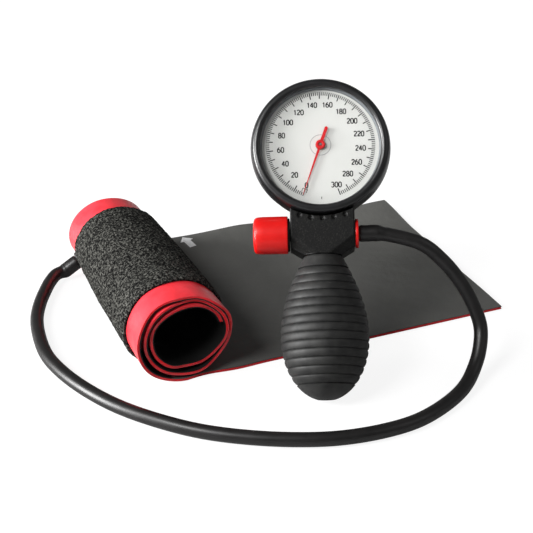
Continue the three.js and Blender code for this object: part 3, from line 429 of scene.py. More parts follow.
def smooth_line(points, per_span):
    """Centripetal Catmull-Rom: between two points, the cubic whose slopes come from the uneven
    spans on both sides, h00 a + h10 slope_a + h01 b + h11 slope_b."""
    points = np.asarray(points, float)
    padded = np.vstack([2 * points[0] - points[1], points, 2 * points[-1] - points[-2]])
    span = np.linalg.norm(np.diff(padded, axis=0), axis=1)[:, None] ** 0.5
    before, here, after = span[:-2], span[1:-1], span[2:]
    p0, p1, p2, p3 = padded[:-3], padded[1:-2], padded[2:-1], padded[3:]
    slope_1 = ((p1 - p0) / before - (p2 - p0) / (before + here) + (p2 - p1) / here) * here
    slope_2 = ((p2 - p1) / here - (p3 - p1) / (here + after) + (p3 - p2) / after) * here
    t = (np.arange(per_span) / per_span)[None, :, None]
    p1, p2, slope_1, slope_2 = (a[:, None] for a in (p1, p2, slope_1, slope_2))
    curve = ((2 * t**3 - 3 * t**2 + 1) * p1 + (t**3 - 2 * t**2 + t) * slope_1
             + (3 * t**2 - 2 * t**3) * p2 + (t**3 - t**2) * slope_2)
    return np.vstack([curve.reshape(-1, 3), points[-1:]])


def swept(line, radii, sides):
    """Circles of the given radii carried along a line that is never upright: each ring lies in the
    plane of side = line x up and top = side x line."""
    tangent = unit(np.gradient(line, axis=0))
    side = unit(np.cross(tangent, (0, 0, 1)))
    top = np.cross(side, tangent)
    turn = circle(sides)[..., None]
    radii = np.broadcast_to(radii, len(line))[:, None, None]
    return line[:, None] + radii * (np.cos(turn) * side[:, None] + np.sin(turn) * top[:, None])


def hose_line():
    """From the barb's axis on the neck, along the route, to the port's axis on the roll."""
    barb = on_handset([(x, BULB_DEPTH, AIR_AXIS)
                       for x in (HOSE_FACE, HOSE_FACE + 4.5, HOSE_FACE + 9)])
    ends = [PORT_PLACE + away * PORT_OUT for away in (11.1, 6.6, 2.1)]
    return smooth_line(np.vstack([barb / MM, HOSE_ROUTE, ends]), 14)


hose_path = hose_line()
along = np.concatenate([[0], np.cumsum(np.linalg.norm(np.diff(hose_path, axis=0), axis=1))])
swell = 0.6 * smooth(np.clip((NIPPLE + 3 - from_ends(along)) / 3, 0, 1))
worn_edge = 0.25 * np.clip(1 - from_ends(along), 0, 1)
stretched = 0.85 * np.clip(NIPPLE + 1 - from_ends(along), 0, 1)
rings = np.concatenate([swept(hose_path, HOSE_RADIUS + swell - worn_edge, HOSE_SIDES),
                        swept(hose_path, HOSE_BORE + stretched, HOSE_SIDES)[::-1]]) * MM
hose = new_piece("hose_tube", rings, grid_faces(len(rings), HOSE_SIDES, wrap_rows=True),
                 hose_rubber, "hose")

# %% [markdown]
# ## The studio
# The floor is a broad pale plane that glows a little where the camera sees it. A soft lamp on the
# left and above gives the long highlights on the bezel and the hose, a weaker one fills the right
# side, and a low one on the left draws the rims. The world is dim for the object and white for the
# camera.

# %% Floor, lamps and world
FLOOR_HALF, FLOOR_GAP = 4.0, 0.0002
FLOOR_GLOW, GLOW_SHARE = 1.46, 0.6
WORLD_LIGHT = 0.17
WHITE = (1, 1, 1, 1)


def make_floor():
    mesh = bpy.data.meshes.new("floor")
    mesh.from_pydata([(x * FLOOR_HALF, y * FLOOR_HALF, 0.0)
                      for x, y in ((-1, -1), (1, -1), (1, 1), (-1, 1))], [], [(0, 1, 2, 3)])
    floor = add_object("floor", mesh)
    floor.location.z = cad_box[0][2] - FLOOR_GAP
    paper = Finish("floor_paper", None, Base_Color=(0.5, 0.5, 0.5, 1), Roughness=0.9,
                   Emission_Color=WHITE, specular=0.0)
    seen = paper.node("LightPath", {}, output="Is Camera Ray")
    glow = paper.node("Emission", {}, WHITE, FLOOR_GLOW)
    plain = Signal(paper, paper.shader.outputs[0])
    both = paper.node("MixShader", {}, seen * GLOW_SHARE, plain, glow)
    paper.fill(paper.tree.nodes["Material Output"].inputs["Surface"], both)
    mesh.materials.append(paper.material)
    floor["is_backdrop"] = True


def make_lamp(name, place, target, size, power):
    """An oblong soft lamp that shines from a place towards a target."""
    data = bpy.data.lights.new(name, "AREA")
    data.shape = "RECTANGLE"
    data.size, data.size_y = size
    data.energy = power
    lamp = add_object(name, data)
    place, target = np.array(place, float), np.array(target, float)
    back = unit(place - target)
    right = unit(np.cross((0, 0, 1), back))
    lamp.matrix_world = pose(right, np.cross(back, right), back, place)


def make_world():
    """White for the camera and through the glass, and dim for all other rays."""
    world = bpy.data.worlds.new("studio")
    scene.world = world
    world.use_nodes = True
    nodes, links = world.node_tree.nodes, world.node_tree.links
    background = nodes["Background"]
    path = nodes.new("ShaderNodeLightPath")
    seen = nodes.new("ShaderNodeMath")
    seen.operation = "MAXIMUM"
    links.new(path.outputs["Is Camera Ray"], seen.inputs[0])
    links.new(path.outputs["Is Transmission Ray"], seen.inputs[1])
    strength = nodes.new("ShaderNodeMapRange")
    strength.inputs["To Min"].default_value = WORLD_LIGHT
    links.new(seen.outputs[0], strength.inputs["Value"])
    background.inputs["Color"].default_value = WHITE
    links.new(strength.outputs[0], background.inputs["Strength"])


make_floor()
make_lamp("key", (-1.3, -0.5, 1.35), (0, -0.05, 0.05), (0.6, 0.6), 24)
make_lamp("fill", (1.2, -1.1, 1.4), (0, -0.05, 0.05), (1.2, 1.2), 2.5)
make_lamp("rim", (-1.2, 0.22, 0.32), (0, -0.05, 0.08), (0.5, 0.7), 38)
make_world()

# %% [markdown]
# ## The cuff
# The cuff is two sheets welded at their edges, red laminate outside and dark grey inside, with a
# flat air bag between them. It lies flat and then winds into a roll. Each layer is one ribbon: a
# thin rectangle, across the cuff, carried along the tail and round the spiral.

# %% Cloth finishes
laminate = coated("red_laminate", "red_laminate", (220, 36, 47), (238, 58, 69), 9, 0.34, 0.12, 9,
                  share=0.7, Coat_Roughness=0.25, Coat_Weight=0.25)
laminate.bump(laminate.noise(6, 2.0), 0.35)

lining = Finish("grey_lining", "grey_lining", specular=0.4)
lining_x, lining_y, lining_z = (lining.along(axis) for axis in "XYZ")
# Painted sheen: the lining's colour gets lighter towards the back and the right, for the grazing reflection there.
# The 24 mm clouds are the cloth's own uneven tone.
painted_sheen_toward_back = lining_x * 0.0025 + lining_y * 0.0045 + 0.4
cloud = lining.noise(24).between(0.3, 0.7) * 0.35
# Painted shade: inside the roll, above a plane that rises away from its middle, the lining's colour goes to near
# black, (7, 7, 7), for the dark where light doesn't reach.
painted_shade_in_roll = (lining_z - (lining_x - ROLL_X) * 0.12).between(3.2, 4.4)
tone_with_painted_sheen = lining.mixed((painted_sheen_toward_back + cloud).between(-0.2, 1.2), (79, 79, 77), (90, 90, 87))
lining.feed(Base_Color=lining.mixed(painted_shade_in_roll, tone_with_painted_sheen, (7, 7, 7)),
            Roughness=0.5 + 0.16 * lining.noise(11))
lining.bump(0.75 * lining.noise(30) + 0.2 * lining.noise(7) + 0.05 * lining.noise(0.7), 1.6)

fleece = Finish("charcoal_fleece", "charcoal_fleece", specular=0.1)
ends = fleece.noise(1.1, 2.0, 0.5, stretch=(1, 0.6, 1)).between(0.52, 0.6)
stray = fleece.noise(0.75, 2.0, 0.5, stretch=(0.6, 1, 0.6)).between(0.53, 0.62)
matted = fleece.noise(3.5, 3.0, 0.6).between(0.4, 0.6)
ground = fleece.mixed(matted, (2, 2, 2), (16, 16, 15))
fleece.feed(Base_Color=fleece.mixed(ends * 0.5 + stray * 0.5, ground, (94, 94, 89)),
            Roughness=0.85 + 0.1 * fleece.noise(2))
fleece.bump(fleece.noise(1.2, 3.0, 0.6), 1.5)

hooks = coated("hook_tape", "hook_tape", (8, 8, 8), (16, 16, 16), 1, 0.8, 0.1, 1, specular=0.2)
hooks.bump(hooks.noise(0.7, 1.0), 0.3)

rim_laminate = coated("rim_laminate", "red_laminate", (228, 14, 28), (242, 24, 40), 10, 0.34, 0.1,
                      3, Coat_Weight=0.3)
print_white = coated("print_white", "dial_paint", (206, 207, 208), (226, 226, 226), 1.5, 0.5, 0.2,
                     1)
bag_rubber = coated("bladder_rubber", "bladder_rubber", (40, 40, 40), (50, 50, 50), 8, 0.6, 0.1, 4)

# %% A ribbon along the tail and the roll
STEP, TAIL_STEP = math.radians(4), 3
TAIL, FULL = CUFF_END - ROLL_X, ROLL_TURNS * math.tau


def ribbon_line(tail, start, end):
    """Stations along the cuff: a negative number is a distance into the tail, in mm, and a positive
    one is an angle round the roll."""
    flat = np.linspace(tail, 0, int(tail / TAIL_STEP), endpoint=False)
    turns = np.linspace(start, end, int((end - start) / STEP) + 1)
    return np.concatenate([-flat, turns])


def ramp(value, low, high):
    """A smooth step from 0 at low to 1 at high."""
    return smooth(np.clip((value - low) / (high - low), 0, 1))


def tail_lift(x, y):
    """How far the cloth stands off the table, in mm: the back edge arches up behind the roll, the
    far corner curls, and low waves die out towards the front edge and the roll."""
    arch = 4.2 * ramp(x, ROLL_X, -45) * ramp(-x, -45, 5) * ramp(y, 0, CUFF_BACK)
    curl = 3.0 * ramp(x, 55, CUFF_END) * ramp(y, 5, CUFF_BACK)
    waves = 0.35 * (1 - np.cos(x / 11 + y / 17)) * ramp(x, ROLL_X, -50) * ramp(y, CUFF_FRONT, -60)
    return arch + curl + waves


def ribbon_points(stations, inset, across):
    """On the roll the spiral of that inset. In the tail x = roll + distance and z = inset + lift,
    and near the roll's foot the front edge snakes a little in y."""
    stations, inset, across = np.broadcast_arrays(stations, inset, across)
    rolled = roll_line(np.maximum(stations, 0), inset, across)
    x = ROLL_X - stations
    near_roll = np.clip((-40 - x) / 30, 0, 1) * np.clip((CUFF_FRONT + 30 - across) / 30, 0, 1) ** 2
    across = across + 1.1 * near_roll * np.sin((x - ROLL_X) / 7)
    flat = joined(x, across, inset + tail_lift(x, across))
    return np.where(stations[..., None] < 0, flat, rolled)


def sheet_faces(rows, loop):
    """Faces of a thin sheet whose rings run out over its outer face and back along its inner one:
    the grid, and a strip across each end."""
    j = np.arange(loop // 2 - 1)
    first, last = [joined(base + j, base + j + 1, base + loop - 2 - j, base + loop - 1 - j)
                   for base in (0, (rows - 1) * loop)]
    return np.concatenate([grid_faces(rows, loop), first[:, ::-1], last])


def ribbon(name, finish, node, tail, start, end, outside, inside, margin, columns=72):
    """A closed ribbon between two insets, from a distance into the tail to an angle on the roll."""
    stations = ribbon_line(tail, start, end)
    y = np.linspace(CUFF_FRONT + margin, CUFF_BACK - margin, columns)
    around = np.concatenate([y, y[::-1]])
    inset = np.repeat([outside, inside], columns)
    points = ribbon_points(stations[:, None], inset, around) * MM
    return new_piece(name, points, sheet_faces(*points.shape[:2]), finish, node)


BAG_TAIL, BAG_END, BAG_MARGIN = 82, math.radians(300), 14
HOOK_START, HOOK_END, PATCH_MARGIN = math.radians(735), math.radians(975), 18
outer_cloth = ribbon("cuff_outer_cloth", laminate, "cuff_outer_layer", TAIL, 0, FULL, 0.0, 0.4, 0)
inner_cloth = ribbon("cuff_inner_cloth", lining, "cuff_inner_layer", TAIL, 0, FULL, 1.4, 1.8, 0)
bag = ribbon("cuff_air_bag", bag_rubber, "cuff_bladder", BAG_TAIL, 0, BAG_END, 0.7, 1.1,
             BAG_MARGIN)
hook_tape = ribbon("hook_tape", hooks, "hook_patch", 0, HOOK_START, HOOK_END, 2.1, 3.1,
                   PATCH_MARGIN)

# %% [markdown]
# The loop patch is a brushed pile, about 1.5 mm thick with loose fibres. Its outer face is a dense
# grid that three sizes of seeded noise push out and in, and its shader puts pale fibre ends on a
# dark ground.

# %% Loop patch
PILE_START, PILE_END = 30, 330
PILE_ROWS, PILE_COLUMNS = 236, 206
PILE_FOOT = 0.3
TABLE = 257


def soft_noise(u, v, size, seed):
    """Random heights from 0 to 1 on square knots of the given size, joined by smooth steps."""
    table = np.random.default_rng(seed).random((TABLE, TABLE))
    u, v = np.asarray(u) / size, np.asarray(v) / size
    i, j = np.floor(u).astype(int), np.floor(v).astype(int)
    s, t = smooth(u - i), smooth(v - j)
    corner = [table[(i + a) % TABLE, (j + b) % TABLE] for a in (0, 1) for b in (0, 1)]
    return (corner[0] * (1 - s) * (1 - t) + corner[1] * (1 - s) * t
            + corner[2] * s * (1 - t) + corner[3] * s * t)


def loop_pile():
    """Two faces of one curved sheet: a foot on the cloth, and on it 1.1 mm and up to 1 mm of
    tufts. The pile thins out towards its ragged rim."""
    turn = np.radians(np.linspace(PILE_START, PILE_END, PILE_ROWS))[:, None]
    y = np.linspace(CUFF_FRONT + PATCH_MARGIN, CUFF_BACK - PATCH_MARGIN, PILE_COLUMNS)[None, :]
    arc = turn * ROLL_FRONT
    tufts = (0.55 * soft_noise(arc, y, 1.3, 1) + 0.3 * soft_noise(arc, y, 0.7, 2)
             + 0.35 * soft_noise(arc, y, 5.0, 3))
    rim = np.clip(np.minimum(from_ends(y), from_ends(arc)) / 1.4, 0.25, 1) ** 0.5
    high = PILE_FOOT + (1.05 + 0.85 * tufts) * rim
    ragged = y + 0.5 * (soft_noise(arc, y, 1.1, 4) - 0.5)
    top = roll_line(turn, -high, ragged)
    under = roll_line(turn, -PILE_FOOT, np.broadcast_to(y, tufts.shape))
    points = np.concatenate([top, under[:, ::-1]], axis=1) * MM
    return new_piece("loop_pile", points, sheet_faces(*points.shape[:2]), fleece, "loop_patch")


pile = loop_pile()

# %% [markdown]
# The two cloths are welded along a bright red border, a rounded rim round the tail and along every
# turn of the roll. The rim is a thin tube whose rings lie square to the cloth's edge.

# %% Welded rim
RIM, RIM_SIDES, RIM_STATIONS = 0.5, 10, 60
MIDDLE = 0.9


def rim_tube(y):
    """Rings (cos t) across + (sin t) normal about the edge's middle line, which lies in a plane y.
    The first and the last ring are half as large."""
    stations = ribbon_line(TAIL, 0, FULL)
    line = ribbon_points(stations, MIDDLE, np.full(len(stations), y))
    tangent = unit(np.gradient(line, axis=0))
    normal = np.cross(tangent, (0, 1, 0))
    turn = circle(RIM_SIDES)[..., None]
    size = RIM * np.clip(from_ends(np.arange(len(line))) + 0.5, 0, 1)
    rings = line[:, None] + size[:, None, None] * (
        np.cos(turn) * np.array([0, 1, 0]) + np.sin(turn) * normal[:, None])
    return rings, grid_faces(len(line), RIM_SIDES)


def end_tube():
    """The same rim across the tail's free end."""
    y = np.linspace(CUFF_FRONT + RIM, CUFF_BACK - RIM, RIM_STATIONS)
    line = ribbon_points(np.full(RIM_STATIONS, -TAIL + RIM), MIDDLE, y)
    return swept(line, RIM, RIM_SIDES), grid_faces(RIM_STATIONS, RIM_SIDES)


rim_points, rim_faces = stacked(rim_tube(CUFF_FRONT + RIM), rim_tube(CUFF_BACK - RIM), end_tube())
rim = new_piece("welded_rim", rim_points * MM, rim_faces, rim_laminate)

# %% Printed arrow on the tail
ARROW = [(-36.4, 42.7), (-31.1, 39.2), (-33.2, 38.2), (-31.9, 31.2), (-36.2, 30.2), (-37.6, 37.4),
         (-39.8, 36.9)]
ARROW_MIDDLE = (-35.4, 36.8)
PRINT_TOP, PRINT_FOOT = 1.88, 1.82


def lining_arrow(per_side=12):
    """Rings from the arrow's middle to its outline and back, which follow the lining's lift."""
    outline, middle = np.array(ARROW), np.array(ARROW_MIDDLE)
    sides = np.concatenate([np.linspace(a, b, per_side, endpoint=False)
                            for a, b in zip(outline, np.roll(outline, -1, axis=0))])
    share = np.array([0.0, 0.5, 1.0, 1.0, 0.5, 0.0])[:, None, None]
    flat = middle + (sides - middle) * share
    x, y = flat[..., 0], flat[..., 1]
    z = np.repeat([PRINT_TOP, PRINT_FOOT], 3)[:, None] + tail_lift(x, y)
    return new_piece("lining_arrow", joined(x, y, z) * MM, grid_faces(*z.shape), print_white)


arrow = lining_arrow()

# %% What each cloth was cut to
def wound_length(start, end, inset, tail=0.0):
    """The length of a layer round the roll and into the tail, in metres."""
    line = ribbon_points(ribbon_line(0, start, end), inset, 0.0)
    return (float(np.sum(np.linalg.norm(np.diff(line, axis=0), axis=1))) + tail) * MM


cut_length = wound_length(0, FULL, MIDDLE, TAIL)
print("cuff, cut:", round(cut_length, 4), "m long and 0.14 m wide")
wound_length(0, BAG_END, MIDDLE, BAG_TAIL)
wound_length(HOOK_START, HOOK_END, 2.6)
wound_length(math.radians(PILE_START), math.radians(PILE_END), -1.2)

# %% [markdown]
# ## The gauge
# Bezel, glass, dial and housing are turned parts. A profile of a few corners is enough: a helper
# rounds each corner with a short curve, and the rounded profile is revolved about its axis.

# %% Turning rounded profiles
SIDES = 160


def softened(corners, radius, steps=4):
    """Each corner becomes a quadratic curve (1-t)^2 a + 2t(1-t) corner + t^2 b, which starts and
    ends at most one radius away along the two edges. Corners on the axis stay sharp."""
    corners = np.asarray(corners, float)
    radius = np.where(corners[:, 0] > 0, radius, 0)

    def along_edge(neighbour):
        """Where the curve leaves the edge towards a neighbour, which may need room too."""
        edge = np.roll(corners, neighbour, axis=0) - corners
        length = np.linalg.norm(edge, axis=1)
        room = np.where(np.roll(radius, neighbour) > 0, 0.48, 0.98) * length
        cut = np.minimum(radius, room) / np.maximum(length, 1e-9)
        return (corners + edge * cut[:, None])[:, None]

    t = np.linspace(0, 1, steps)[None, :, None]
    curve = ((1 - t) ** 2 * along_edge(1) + 2 * t * (1 - t) * corners[:, None]
             + t**2 * along_edge(-1))
    return curve.reshape(-1, 2)


AXES = {
    "gauge": lambda r, h, t: (r * np.cos(t), h, r * np.sin(t)),
    "pointer": lambda r, h, t: (r * np.cos(t), h, r * np.sin(t) + AXIS_RISE),
    "air": lambda r, h, t: (h, BULB_DEPTH + r * np.cos(t), AIR_AXIS + r * np.sin(t)),
    "bulb": lambda r, h, t: (r * np.cos(t), BULB_DEPTH + r * np.sin(t), h),
}


def turned(name, profile, axis, finish, node, body="root", sides=SIDES):
    """Revolve (radius, height) about one of the axes above. A profile is closed unless it starts
    and ends on the axis."""
    points = joined(*AXES[axis](*np.split(profile, 2, axis=1), circle(sides)))
    faces = grid_faces(len(profile), sides, wrap_rows=profile[0, 0] > 0)
    return new_piece(name, on_handset(points), faces, finish, node, body)


# %% Bezel, housing, spacer, dial and glass
GLASS_RADIUS, BEZEL_RADIUS, DIAL_RADIUS, HOUSING_RADIUS = 29.9, 35.0, 31.3, 34.7
BEZEL_DEPTH, DIAL_DEPTH, HOUSING_DEPTH = 9.7, 4.0, 30.2
DIAL_HOLE, DIAL_THICK = 2.5, 0.6

turned("bezel", softened([
    (GLASS_RADIUS, 0.6), (GLASS_RADIUS, -0.1), (30.6, -1.0), (32.0, -1.3), (33.8, -0.5),
    (34.7, 2.9), (BEZEL_RADIUS, 6.0), (BEZEL_RADIUS, BEZEL_DEPTH), (33.3, BEZEL_DEPTH), (33.3, 0.6),
], [0.1, 0.5, 1, 1, 1.5, 2, 2, 0.5, 0.1, 0.1], 6), "gauge", bezel_paint, "bezel_ring")

turned("housing", softened([
    (0, HOUSING_DEPTH), (32.8, HOUSING_DEPTH), (32.8, 23.0), (HOUSING_RADIUS, 10.0), (32.9, 10.0),
    (32.9, 3.9), (31.6, 3.9), (31.6, 4.9), (29.6, 4.9), (29.6, 6.4), (32.3, 6.4), (30.4, 23.0),
    (30.4, 27.8), (0, 27.8),
], [0, 7.2, 0, 0.4, 0.1, 0.2, 0.1, 0.1, 0.1, 0.2, 0.2, 0, 4.8, 0], 12), "gauge", neck_plastic,
    "gauge_housing")

turned("dial_wall", softened([(29.9, 2.2), (31.3, 2.2), (31.3, 3.7), (29.1, 3.7)], 0.2), "gauge",
       spacer_painted_shade, "dial_spacer")
turned("gasket", softened([(31.9, 2.2), (32.9, 2.2), (32.9, 3.6), (31.9, 3.6)], 0.2), "gauge",
       soft_rubber, "lens_gasket")


def dial_plate():
    """A disc whose hole lies off its centre: the circles' centres slide as their radii grow."""
    share = np.array([0.0, 1.0, 1.0, 0.0])[:, None]
    depth = DIAL_DEPTH + np.array([0.0, 0.0, DIAL_THICK, DIAL_THICK])[:, None]
    radius = DIAL_HOLE + (DIAL_RADIUS - DIAL_HOLE) * share
    turn = circle(SIDES)
    x, z = radius * np.cos(turn), radius * np.sin(turn) + AXIS_RISE * (1 - share)
    new_piece("dial", on_handset(joined(x, depth, z)), grid_faces(4, SIDES, wrap_rows=True),
              dial_paint, "dial_plate")


dial_plate()

clear_glass = Finish("lens_glass", "lens_glass", Base_Color=(0.96, 0.98, 0.98, 1), Roughness=0.03)
rim_share = clear_glass.node("LayerWeight", {}, 0.35, output="Facing")
clear_glass.feed(Alpha=0.008 + 0.25 * rim_share**3)
turned("glass", softened([(0, 0.9), (33.0, 0.9), (33.0, 1.9), (0, 1.9)], 0.3), "gauge",
       clear_glass, "lens")

# %% Rubber port on the roll
PORT_SIDES = 48
SEEN_ROLL = 21.5


def port_piece():
    """Turned about the port's own axis: a flange whose foot follows the roll, then a nipple."""
    profile = softened([(0, -0.1), (5.0, -0.1), (5.0, 1.3), (4.2, 1.8), (2.6, 1.9), (2.2, 2.9),
                        (2.2, 6.8), (2.55, 7.0), (2.2, 9.8), (1.9, 10.8), (0, 10.8)],
                       [0, 0.1, 0.4, 0.5, 0.5, 0.6, 0.1, 0.1, 0.4, 0.3, 0], 6)
    turn = circle(PORT_SIDES)
    radius, height = np.split(profile, 2, axis=1)
    slide, beside = radius * np.cos(turn), radius * np.sin(turn)
    foot = 0.35 - slide**2 / (2 * SEEN_ROLL)
    height = np.where(height < 0.3, foot, height)
    tangent = np.array([-PORT_OUT[2], 0, PORT_OUT[0]])
    points = (PORT_PLACE + height[..., None] * PORT_OUT + slide[..., None] * tangent
              + beside[..., None] * np.array([0, 1, 0]))
    new_piece("port", points * MM, grid_faces(len(profile), PORT_SIDES), soft_rubber, "cuff_port")


port_piece()

# %% [markdown]
# ## The neck
# The neck is a moulded block with a shield outline, two slanting lower facets and a row of dimples
# under the bezel. Its front is a disc grid: rings that grow from the middle to the outline. Each
# point's depth is that of the flat face or of a facet, and the dimples go in from there.

# %% Neck shells
NECK_HALF, NECK_FRONT, NECK_SPLIT, NECK_BACK = 15.9, 0.5, (7.85, 8.15), 20.5
NECK_CORNER, NECK_BOTTOM = -50.6, -54.6
NECK_ARC, NECK_FOOT = 35.3, 9.2
NECK_MIDDLE, NECK_BEVEL = np.array([0.0, -45.0]), 0.7
DIMPLE_ARC, DIMPLE_RADIUS, DIMPLE_DEPTH, DIMPLE_PITCH = 36.75, 1.3, 0.85, 8.9
FACET, FACET_DEPTH, FACET_SOFT = [(16.1, -44.8), (2.2, -54.8), (16.1, -53.6)], 6.7, 0.8


def neck_outline():
    """Along the arc under the bezel, down the right side, round the foot and up the left side,
    evenly spaced on each stretch."""
    side = math.asin(NECK_HALF / NECK_ARC)
    top = -NECK_ARC * math.cos(side)
    arc = np.linspace(-math.pi / 2 - side, -math.pi / 2 + side, 80)
    arch = NECK_ARC * joined(np.cos(arc), np.sin(arc))
    right = [(NECK_HALF, top), (NECK_HALF, NECK_CORNER), (NECK_FOOT, NECK_BOTTOM)]
    corners = right + [(-x, z) for x, z in right[::-1]]
    rest = np.vstack([np.linspace(a, b, steps, endpoint=False)
                      for a, b, steps in zip(corners, corners[1:], (39, 16, 16, 16, 39))])
    return np.vstack([arch, rest[1:]])


def front_depth(x, z):
    """The neck's front: flat, with smooth round dimples, and cut by a facet plane on each side,
    which leaves the front along a line and is FACET_DEPTH deep at a third point."""
    start, end, low = np.array(FACET)
    normal = np.array([end[1] - start[1], start[0] - end[0]])
    beyond = (np.abs(x) - start[0]) * normal[0] + (z - start[1]) * normal[1]
    slant = FACET_DEPTH * (beyond / (normal @ (low - start)))
    depth = NECK_FRONT + np.where(slant > FACET_SOFT / 2, slant - FACET_SOFT / 4, np.clip(
        slant + FACET_SOFT / 2, 0, FACET_SOFT) ** 2 / (4 * FACET_SOFT))
    for index in range(-2, 3):
        turn = math.radians(-90 + index * DIMPLE_PITCH)
        away = np.hypot(x - DIMPLE_ARC * math.cos(turn), z - DIMPLE_ARC * math.sin(turn))
        depth = depth + DIMPLE_DEPTH * np.clip(1 - (away / DIMPLE_RADIUS) ** 2, 0, 1)
    return depth


def neck_shell(name, node, shown, hidden):
    """Rings from the middle of the shown face to the outline, over the bevel, down the wall and
    back to the middle of the hidden face. The shell that shows NECK_FRONT is the front one."""
    front = shown == NECK_FRONT
    edge = neck_outline()
    spokes = edge - NECK_MIDDLE
    inner = NECK_MIDDLE + spokes * (1 - NECK_BEVEL / np.linalg.norm(spokes, axis=1))[:, None]
    face = NECK_MIDDLE + (np.linspace(0, 1, 60) ** 0.7)[:, None, None] * (inner - NECK_MIDDLE)
    depth = front_depth(face[..., 0], face[..., 1]) if front else np.full(face.shape[:2], shown)
    rows = [joined(face[..., 0], depth, face[..., 1])]
    for turn in np.radians((30, 60, 90)):
        ring = inner + (edge - inner) * math.sin(turn)
        drop = NECK_BEVEL * (1 - math.cos(turn)) * (1 if front else -1)
        rows.append(joined(ring[:, 0], depth[-1] + drop, ring[:, 1])[None])
    away = NECK_MIDDLE + spokes * np.linspace(1, 0, 24)[:, None, None]
    rows.append(joined(away[..., 0], hidden, away[..., 1]))
    points = np.concatenate(rows)
    new_piece(name, on_handset(points), grid_faces(*points.shape[:2]), neck_plastic, node)


neck_shell("neck_front", "neck_front_shell", NECK_FRONT, NECK_SPLIT[0])
neck_shell("neck_rear", "neck_rear_shell", NECK_BACK, NECK_SPLIT[1])

# %% Knob, collar and ring on the air axis
turned("knob", softened([
    (0, -34.3), (6, -34.3), (8.9, -33.6), (9.35, -30.6), (9.35, -17.3), (9.05, -17.1), (8.6, -17.1),
    (8.6, -17.7), (7.55, -17.8), (7.55, -26.8), (1.8, -26.8), (1.8, -32.7), (0, -32.7),
], [0, 3, 2.5, 2, 0.4, 0.2, 0.1, 0.1, 0.2, 0.5, 0.2, 0.2, 0], 8), "air", red_plastic,
    "release_knob", "knob_body")
turned("collar", softened([
    (1.8, -12.6), (3.2, -12.6), (3.2, -16.2), (8.3, -16.2), (8.3, -17.1), (5.4, -17.1),
    (5.4, -24.4), (1.8, -24.4),
], 0.25), "air", neck_plastic, "valve_collar")
turned("hose_collar", softened([(3.0, 16.2), (7.3, 16.2), (7.3, 17.7), (3.0, 17.7)], 0.45, 6),
       "air", red_plastic, "hose_ring")

# %% [markdown]
# ## The bulb
# The bulb is one turned rubber shell: a cosine above its widest ring, an ellipse below it, and on
# top of that fourteen rounded ribs that meet in sharp grooves.

# %% Bulb
BULB_RADIUS, BULB_WIDEST, BULB_TOP, BULB_END = 21.8, -95.1, -54.9, -126.0
BULB_INLET, INLET_BACK = -125.4, -121.8
COSINE_QUARTER = 56.3
RIB_TOP, RIB_PITCH, RIBS, RIB_DEPTH = -61.2, 4.07, 14, 0.85
WALL, WALL_DROP = 2.95, 1.8


def bulb_radius(z):
    """The bulb's radius at a height, without its ribs."""
    away = z - BULB_WIDEST
    above = BULB_RADIUS * np.cos(math.pi / 2 * np.clip(away, 0, None) / COSINE_QUARTER)
    share = np.clip(away / (BULB_END - BULB_WIDEST), 0, 1)
    return np.where(away > 0, above, BULB_RADIUS * np.sqrt(1 - share**2))


def bulb_profile():
    """Outside from the mouth to the inlet, then the plain inner wall back up to the mouth."""
    rib_end = RIB_TOP - RIBS * RIB_PITCH
    z = np.concatenate([np.linspace(BULB_TOP, RIB_TOP, 16, endpoint=False),
                        np.linspace(RIB_TOP, rib_end, RIBS * 12, endpoint=False),
                        np.linspace(rib_end, BULB_INLET, 24)])
    phase = (RIB_TOP - z) / RIB_PITCH
    inside_ribs = (phase >= 0) & (phase <= RIBS)
    bow = np.sqrt(np.clip(1 - (2 * (phase % 1) - 1) ** 2, 0, 1))
    radius = bulb_radius(z) - np.where(inside_ribs, RIB_DEPTH * (1 - bow), 0)
    radius = radius - np.clip(0.5 - (BULB_TOP - z) * 0.8, 0, 0.5)
    inner_z = np.linspace(INLET_BACK, BULB_TOP - 9, 40)
    inner = np.maximum(bulb_radius(inner_z - WALL_DROP) - WALL, 4.6)
    return np.vstack([joined(radius, z), [(4.2, BULB_INLET), (4.2, INLET_BACK)],
                      joined(inner, inner_z), [(5.0, BULB_TOP - 8), (5.0, BULB_TOP)]])


turned("bulb_shell", bulb_profile(), "bulb", bulb_rubber, "bulb", sides=144)

# %% [markdown]
# ## The dial's print and the pointer
# All print on the dial is strokes. A stroke is a line or an arc that becomes a thin flat bar, with
# four corners at each of its points, and stands a hair proud of the plate, as ink does. The scale
# runs clockwise over 320 degrees, from 0 at the lower left to 300 at the lower right.

# %% Strokes and ticks
SCALE_START, SCALE_SWEEP, SCALE_TOP = 250.0, 320.0, 300
INK_FRONT, INK_BACK = 3.96, 4.02
LONG_TICK, SHORT_TICK = (23.8, 27.3, 0.5), (25.5, 27.3, 0.42)


def scale_angle(value):
    """Where the pointer stands at that reading, in radians."""
    return math.radians(SCALE_START - value * SCALE_SWEEP / SCALE_TOP)


def bar_faces(count):
    """Faces of a bar with four corners at each of its points, and a cap on each end."""
    last = (count - 1) * 4
    caps = np.array([(0, 1, 2, 3), (last + 3, last + 2, last + 1, last)])
    return np.concatenate([grid_faces(count, 4), caps])


def stroke(points, width):
    """Each point, moved half the width to both sides of the line and doubled in depth."""
    along = unit(np.gradient(points, axis=0))
    side = joined(-along[:, 1], along[:, 0]) * width / 2
    corners = [(-side, INK_FRONT), (side, INK_FRONT), (side, INK_BACK), (-side, INK_BACK)]
    rings = [np.insert(points + shift, 1, depth, axis=1) for shift, depth in corners]
    return np.stack(rings, axis=1), bar_faces(len(points))


def outwards(angle):
    """The direction at an angle in radians."""
    return np.array([math.cos(angle), math.sin(angle)])


